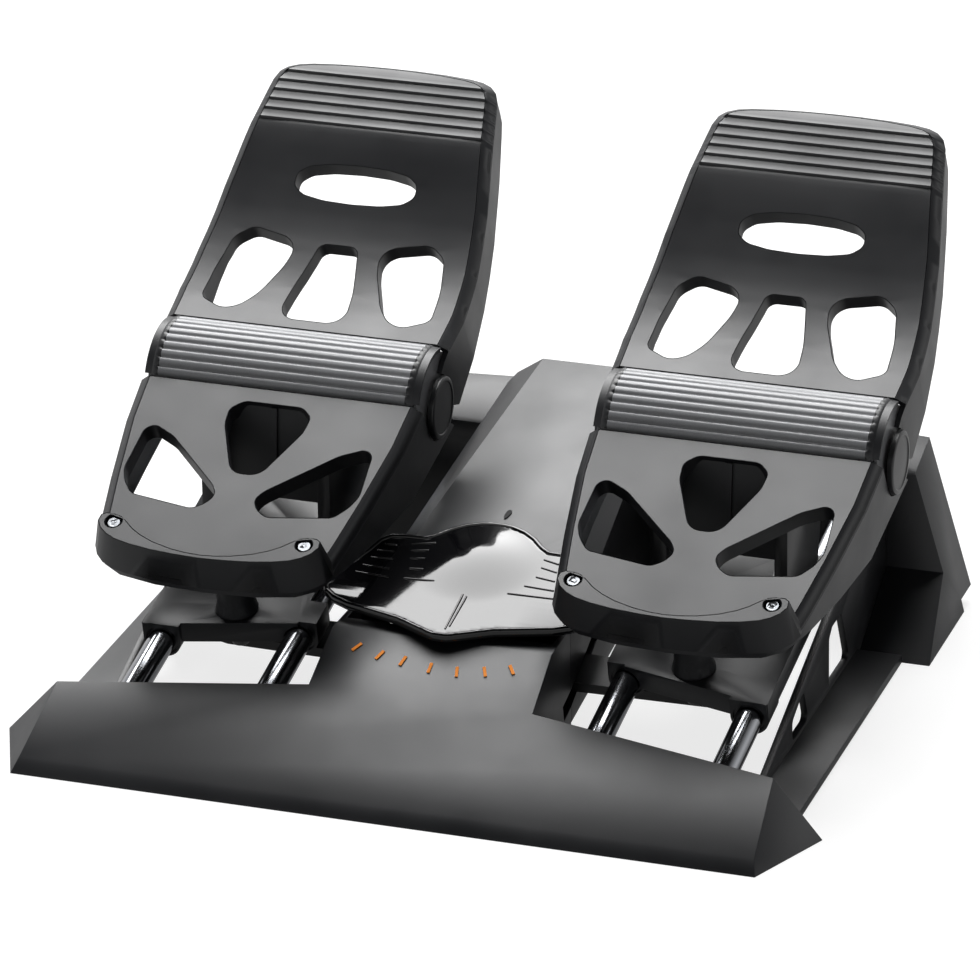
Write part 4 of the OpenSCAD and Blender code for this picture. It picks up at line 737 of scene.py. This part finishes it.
def knuckle(side):
    """Drum between the plates: nine fine ribs around it, smooth rounded ends, and a plain skirt below."""
    bm = bmesh.new()
    section = [(x, KNUCKLE_R + r) for x, r in DRUM_SECTION]
    steps = KNUCKLE_RIBS * KNUCKLE_STEPS
    swing = math.radians(KNUCKLE_TO - KNUCKLE_FROM)
    spun(bm, other_side(section) + section, KNUCKLE_FROM, KNUCKLE_TO, steps)
    for v in bm.verts:
        if abs(v.co.x) < DRUM_RIBBED:
            step = round((math.atan2(v.co.z, v.co.y) - math.radians(KNUCKLE_FROM)) / swing * steps)
            v.co.yz = v.co.yz * (1 - KNUCKLE_GROOVE * RIB_SHARES[step % KNUCKLE_STEPS] / KNUCKLE_R)
    for end in (-1, 1):
        lip = [(end * x, r) for x, r in END_LIP]
        spun(bm, lip, KNUCKLE_FROM, KNUCKLE_FROM + END_LIP_SWEEP, END_LIP_STEPS)
    skirt = [(-SKIRT_HALF, SKIRT_R), (SKIRT_HALF, SKIRT_R)]
    spun(bm, skirt, KNUCKLE_TO - SKIRT_LAP, KNUCKLE_LAST, SKIRT_STEPS)
    bmesh.ops.recalc_face_normals(bm, faces=bm.faces)
    for f in bm.faces:
        if f.normal.yz.dot(f.calc_center_median().yz) < 0:
            f.normal_flip()
    bmesh.ops.solidify(bm, geom=bm.faces[:], thickness=DRUM_SKIN)
    for f in bm.faces:
        middle = f.calc_center_median()
        f.material_index = 1 if abs(middle.x) > DRUM_RIBBED or middle.y < SKIRT_FRONT else 0
    for x in (-END_DISC_AT, END_DISC_AT):
        bmesh.ops.create_cone(bm, cap_ends=True, segments=64, radius1=END_DISC_R, radius2=END_DISC_R,
            depth=END_DISC_THICK,
            matrix=Matrix.Translation((x, 0, 0)) @ Matrix.Rotation(math.radians(90), 4, "Y"))
    bm.transform(Matrix.Translation(AXLE[side]) @ Matrix.Scale(MM, 4))
    return bm


# Cover and marks


def cover_height(x, t):
    """How far the cover's top rises to its dome at a place."""
    away = min(1.0, math.hypot(x, t - DOME_AT) / DOME_R)
    return DOME_H * (1 - away * away) ** 2


def cover_top(bm):
    """Faces of the cover's top with their edges and vertices."""
    faces = [f for f in bm.faces if f.calc_center_median().z > COVER_TOP]
    return faces + list({e for f in faces for e in f.edges}) + list({v for f in faces for v in f.verts})


def ridge(bm, start, end):
    """A fine round ridge that follows the cover's top between two places."""
    middle = (start + end) / 2
    length = (end - start).length
    tilt = math.atan2(cover_height(*end) - cover_height(*start), length)
    heading = math.atan2(end.y - start.y, end.x - start.x)
    turn = Matrix.Rotation(heading, 4, "Z") @ Matrix.Rotation(-tilt, 4, "Y")
    rise = (cover_height(*start) + cover_height(*end) + 2 * cover_height(*middle)) / 4
    level = Matrix.Translation((*middle, COVER_THICK + RIDGE_LIFT + rise))
    bmesh.ops.create_cone(bm, cap_ends=True, segments=8, radius1=RIDGE_R, radius2=RIDGE_R, depth=length,
        matrix=level @ turn @ Matrix.Rotation(math.radians(90), 4, "Y"))


def rocker_cover():
    """Glossy cover over the pivot: swells to a low dome, with a bead along its edge and fine ridges."""
    node = frame["nodes"]["rocker_cover"]
    pivot = Matrix.Translation((0, PIVOT_Y * MM - HALF_DEPTH, RAIL_Z * MM))
    place = pivot @ Matrix.Rotation(math.radians(RAIL_SLOPE), 4, "X")
    low = min((place.inverted() @ v.co).z for v in node.data.vertices)
    bm = bmesh.new()
    face = flat_face(bm, mirrored(COVER_EDGE))
    bmesh.ops.contextual_create(bm, geom=drop_edges(bm, list(face.edges), COVER_WALL))
    steps_in(bm, face, COVER_BEAD)
    for t in range(-42, 45, COVER_CUT):
        bmesh.ops.bisect_plane(bm, geom=cover_top(bm), dist=1e-4, plane_co=(0, t, 0), plane_no=(0, 1, 0))
    for x in range(-30, 31, COVER_CUT):
        bmesh.ops.bisect_plane(bm, geom=cover_top(bm), dist=1e-4, plane_co=(x, 0, 0), plane_no=(1, 0, 0))
    for v in bm.verts:
        if v.co.z > COVER_TOP:
            v.co.z += cover_height(v.co.x, v.co.y)
    bmesh.ops.translate(bm, verts=bm.verts, vec=(0, 0, COVER_THICK))
    bmesh.ops.recalc_face_normals(bm, faces=bm.faces)
    for start, end in RIDGES:
        ridge(bm, Vector(start), Vector(end))
    bm.transform(place @ Matrix.Translation((0, 0, low)) @ Matrix.Scale(MM, 4))
    return bm


def index_marks():
    """Seven printed ticks on the front slope, and the spine's round mark drawn out to a dark pointer."""
    bm = merged_copy("index_marks")
    spot = [v for v in bm.verts if v.co.y > 0]
    centre = sum((v.co for v in spot), Vector()) / len(spot)
    for v in spot:
        ahead = max(0.0, centre.y - v.co.y)
        v.co.x = centre.x + (v.co.x - centre.x) * POINTER_SLIM - ahead * POINTER_SLANT
        v.co.yz -= POINTER_SLOPE * ahead * POINTER_STRETCH
    for f in bm.faces:
        f.material_index = 1 if f.calc_center_median().y > 0 else 0
    return bm


# Stage


def studio(scene):
    """White walls and a dark ceiling for the camera and reflections; they light the object a little."""
    world = bpy.data.worlds.new("studio")
    scene.world = world
    world.use_nodes = True
    world.node_tree.nodes.clear()
    place = add(world, "ShaderNodeTexCoord")
    height = add(world, "ShaderNodeSeparateXYZ", links={"Vector": place.outputs["Generated"]})
    wall = add(world, "ShaderNodeMapRange",
        {"From Min": 0.25, "From Max": 0.7, "To Min": 1.0, "To Max": 0.05},
        {"Value": height.outputs["Z"]})
    path = add(world, "ShaderNodeLightPath")
    seen = add(world, "ShaderNodeMath", {"operation": "MAXIMUM"},
        {0: path.outputs["Is Camera Ray"], 1: path.outputs["Is Glossy Ray"]})
    through = add(world, "ShaderNodeMath", {"operation": "MAXIMUM"},
        {0: seen.outputs[0], 1: path.outputs["Is Transmission Ray"]})
    level = add(world, "ShaderNodeMapRange", {"To Min": 0.2, "To Max": 1.0}, {"Value": through.outputs[0]})
    strength = add(world, "ShaderNodeMath", {"operation": "MULTIPLY"},
        {0: wall.outputs["Result"], 1: level.outputs["Result"]})
    sky = add(world, "ShaderNodeBackground", {"Color": (1, 1, 1, 1)}, {"Strength": strength.outputs[0]})
    add(world, "ShaderNodeOutputWorld", links={"Surface": sky.outputs[0]})


def white_floor():
    """Paper sweep: white to the camera, paler in reflections, and it still takes the object's shadow."""
    m = bare("white_paper")
    path = add(m, "ShaderNodeLightPath")
    seen = add(m, "ShaderNodeMath", {"operation": "MULTIPLY", 1: 0.8}, {0: path.outputs["Is Camera Ray"]})
    shown = add(m, "ShaderNodeMath", {"operation": "MULTIPLY", 1: 0.25}, {0: path.outputs["Is Glossy Ray"]})
    share = add(m, "ShaderNodeMath", {"operation": "ADD"}, {0: seen.outputs[0], 1: shown.outputs[0]})
    paper = add(m, "ShaderNodeBsdfPrincipled",
        {"Base Color": linear("#8c8c8c"), "Roughness": 0.9, "Emission Color": (1, 1, 1, 1)},
        {"Emission Strength": share.outputs[0]})
    return finish(m, paper)


def softbox(name, place, target, width, height, power):
    """A rectangular lamp that points at a target."""
    data = bpy.data.lights.new(name, "AREA")
    data.shape, data.size, data.size_y, data.energy = "RECTANGLE", width, height, power
    made = bpy.data.objects.new(name, data)
    made.location = place
    made.rotation_mode = "QUATERNION"
    made.rotation_quaternion = (Vector(target) - Vector(place)).to_track_quat("-Z", "Y")
    bpy.context.scene.collection.objects.link(made)


def camera():
    """Camera of the photo: found from the object's edges in it."""
    azimuth, elevation, roll = math.radians(19.27), math.radians(24.0), math.radians(-1.07)
    distance = 2.897
    target = Vector((5.5 * MM, 142.5 * MM - HALF_DEPTH, 98.4 * MM))
    level = Vector((math.cos(azimuth), math.sin(azimuth), 0))
    flat = math.cos(elevation)
    back = Vector((math.sin(azimuth) * flat, -math.cos(azimuth) * flat, math.sin(elevation)))
    up = back.cross(level)
    right = level * math.cos(roll) + up * math.sin(roll)
    top = up * math.cos(roll) - level * math.sin(roll)
    data = bpy.data.cameras.new("camera")
    data.sensor_width, data.lens = 36.0, 239.2
    made = bpy.data.objects.new("camera", data)
    axes = Matrix((right, top, back)).transposed().to_4x4()
    made.matrix_world = Matrix.Translation(target + back * distance) @ axes
    bpy.context.scene.collection.objects.link(made)
    bpy.context.scene.camera = made


# Add-on


class PedalSizes(bpy.types.PropertyGroup):
    edge: bpy.props.FloatProperty(
        name="Edge radius", description="Radius of the moulded edges",
        default=0.7 * MM, min=0.1 * MM, max=2.0 * MM, precision=5, unit="LENGTH")
    grain: bpy.props.FloatProperty(
        name="Grain", description="Size of the moulded grain",
        default=0.45 * MM, min=0.1 * MM, max=2.0 * MM, precision=5, unit="LENGTH")
    skin: bpy.props.FloatProperty(
        name="Skin", description="Wall thickness of the pedal plates",
        default=2.4 * MM, min=1.5 * MM, max=3.0 * MM, precision=5, unit="LENGTH")
    window_depth: bpy.props.FloatProperty(
        name="Window depth", description="Height of the walls around the windows",
        default=8.0 * MM, min=3.0 * MM, max=12.0 * MM, precision=5, unit="LENGTH")


class PedalColours(bpy.types.PropertyGroup):
    shell: bpy.props.FloatVectorProperty(
        name="Shell", description="Charcoal plastic of base and pedals",
        default=linear("#1c1d20"), min=0.0, max=1.0, size=4, subtype="COLOR")
    ribs: bpy.props.FloatVectorProperty(
        name="Ribs", description="Satin plastic of ribs and inner pieces",
        default=linear("#1b1c1e"), min=0.0, max=1.0, size=4, subtype="COLOR")
    satin: bpy.props.FloatVectorProperty(
        name="Satin", description="Satin plastic of the ribbed knuckles",
        default=linear("#98999c"), min=0.0, max=1.0, size=4, subtype="COLOR")
    cover: bpy.props.FloatVectorProperty(
        name="Cover", description="Glossy centre cover",
        default=linear("#0b0b0d"), min=0.0, max=1.0, size=4, subtype="COLOR")
    rails: bpy.props.FloatVectorProperty(
        name="Rails", description="Smoked chrome of the rails",
        default=linear("#8e9094"), min=0.0, max=1.0, size=4, subtype="COLOR")
    marks: bpy.props.FloatVectorProperty(
        name="Marks", description="Orange of the graduation marks",
        default=linear("#ff9420"), min=0.0, max=1.0, size=4, subtype="COLOR")


FINISHES = {}


class PEDALS_OT_finishes(bpy.types.Operator):
    """Makes the materials"""

    bl_idname = "pedals.finishes"
    bl_label = "Make finishes"

    def execute(self, context):
        colours = context.scene.pedal_colours
        grain = context.scene.pedal_sizes.grain
        FINISHES.update(
            charcoal_plastic=moulded_abs("charcoal_moulded_abs", colours.shell, 0.42, grain),
            satin_plastic=moulded_abs("satin_moulded_abs", colours.satin, 0.34, grain),
            graphite_plastic=moulded_abs("graphite_moulded_abs", colours.ribs, 0.36, grain),
            gloss_black=polished_abs("black_polished_abs", colours.cover),
            bush_plastic=moulded_abs("black_acetal", linear("#17171a"), 0.35, grain),
            dark_chrome=smoked_chrome("smoked_chrome_steel", colours.rails),
            steel=turned_steel("turned_steel", linear("#6f7174")),
            rubber=moulded_rubber("black_rubber", linear("#18181a")),
            orange_print=printed_ink("orange_ink", colours.marks),
            board_green=green_board("green_circuit_board", linear("#174a2e"), linear("#1d5a38")),
        )
        return {"FINISHED"}


class PEDALS_OT_inner_pieces(bpy.types.Operator):
    """Gives every CAD node that stays the finish of its material slot"""

    bl_idname = "pedals.inner_pieces"
    bl_label = "Finish inner pieces"

    def execute(self, context):
        for name, finish_name in SLOT.items():
            for slot in frame["nodes"][name].material_slots:
                slot.material = FINISHES[finish_name]
        return {"FINISHED"}


def stand_for(node, bm, suffix, finish_names=(), smooth_angle=35.0):
    """Makes the object that stands for a CAD node and rides where it rode."""
    materials = [FINISHES[name] for name in finish_names or [SLOT[node]]]
    made = scene_object(f"{node}_{suffix}", bm, materials, smooth_angle)
    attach(made, BODY[node])
    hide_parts(node)


class PEDALS_OT_pedal_plates(bpy.types.Operator):
    """Makes the plates, heel stops, knuckles, axle caps and screw heads of both pedals"""

    bl_idname = "pedals.pedal_plates"
    bl_label = "Make pedal plates"

    def execute(self, context):
        for name, side in SIDES.items():
            stand_for(f"{name}_toe_plate", toe_plate(side), "shell")
            stand_for(f"{name}_heel_plate", heel_plate(side), "shell")
            stand_for(f"{name}_heel_stop", heel_stop(side), "crescent")
            stand_for(f"{name}_knuckle", knuckle(side), "drum", ["satin_plastic", "charcoal_plastic"], 50.0)
            stand_for(f"{name}_axle_caps", axle_caps(side), "discs")
            # The black rubber finish on the screws is painted shade in their sockets
            stand_for(f"{name}_heel_screws", heel_screws(name, side), "heads", ["steel", "rubber"])
        return {"FINISHED"}


class PEDALS_OT_cover_and_marks(bpy.types.Operator):
    """Makes the rocker cover and the printed marks"""

    bl_idname = "pedals.cover_and_marks"
    bl_label = "Make cover and marks"

    def execute(self, context):
        stand_for("rocker_cover", rocker_cover(), "shell", smooth_angle=50.0)
        stand_for("index_marks", index_marks(), "print", ["orange_print", "rubber"])
        return {"FINISHED"}


class PEDALS_OT_rounded_pieces(bpy.types.Operator):
    """Gives the moulded pieces rounded edges"""

    bl_idname = "pedals.rounded_pieces"
    bl_label = "Round moulded pieces"

    def execute(self, context):
        width = context.scene.pedal_sizes.edge
        names = list(BASE_MOULDINGS)
        for side in SIDES:
            names += [f"{side}_{piece}" for piece in PEDAL_MOULDINGS]
        for name in names:
            bm = merged_copy(name)
            if name in SKIRTED:
                for v in bm.verts:
                    if v.co.z < HEM_FOUND * MM:
                        v.co.z = HEM_LEVEL * MM
            round_edges(bm, width)
            stand_for(name, bm, "moulded")
        return {"FINISHED"}


class PEDALS_OT_stage(bpy.types.Operator):
    """Makes the floor, the lights and the camera"""

    bl_idname = "pedals.stage"
    bl_label = "Set the stage"

    def execute(self, context):
        bm = bmesh.new()
        bmesh.ops.create_grid(bm, x_segments=1, y_segments=1, size=6.0)
        floor = scene_object("floor", bm, [white_floor()])
        softbox("rear_softbox", (-0.42, 0.95, 1.45), (0.0, 0.05, 0.1), 1.3, 1.5, 62.0)
        studio(context.scene)
        camera()
        context.scene.view_settings.view_transform = "Standard"
        return {"FINISHED"}


OPERATORS = (
    PEDALS_OT_finishes, PEDALS_OT_inner_pieces, PEDALS_OT_pedal_plates, PEDALS_OT_cover_and_marks,
    PEDALS_OT_rounded_pieces, PEDALS_OT_stage,
)


class PEDALS_PT_panel(bpy.types.Panel):
    """Lists the pieces and the sizes and colours they use"""

    bl_label = "Rudder pedals"
    bl_idname = "PEDALS_PT_panel"
    bl_space_type = "VIEW_3D"
    bl_region_type = "UI"
    bl_category = "Pedals"

    def draw(self, context):
        for group in (context.scene.pedal_sizes, context.scene.pedal_colours):
            for name in group.__annotations__:
                self.layout.prop(group, name)
        for operator in OPERATORS:
            self.layout.operator(operator.bl_idname)


CLASSES = (PedalSizes, PedalColours, *OPERATORS, PEDALS_PT_panel)


def register():
    for cls in CLASSES:
        bpy.utils.register_class(cls)
    bpy.types.Scene.pedal_sizes = bpy.props.PointerProperty(type=PedalSizes)
    bpy.types.Scene.pedal_colours = bpy.props.PointerProperty(type=PedalColours)


def unregister():
    del bpy.types.Scene.pedal_colours
    del bpy.types.Scene.pedal_sizes
    for cls in reversed(CLASSES):
        bpy.utils.unregister_class(cls)


def main():
    register()
    for operator in OPERATORS:
        getattr(bpy.ops.pedals, operator.bl_idname.split(".")[1])()


if __name__ == "__main__":
    main()
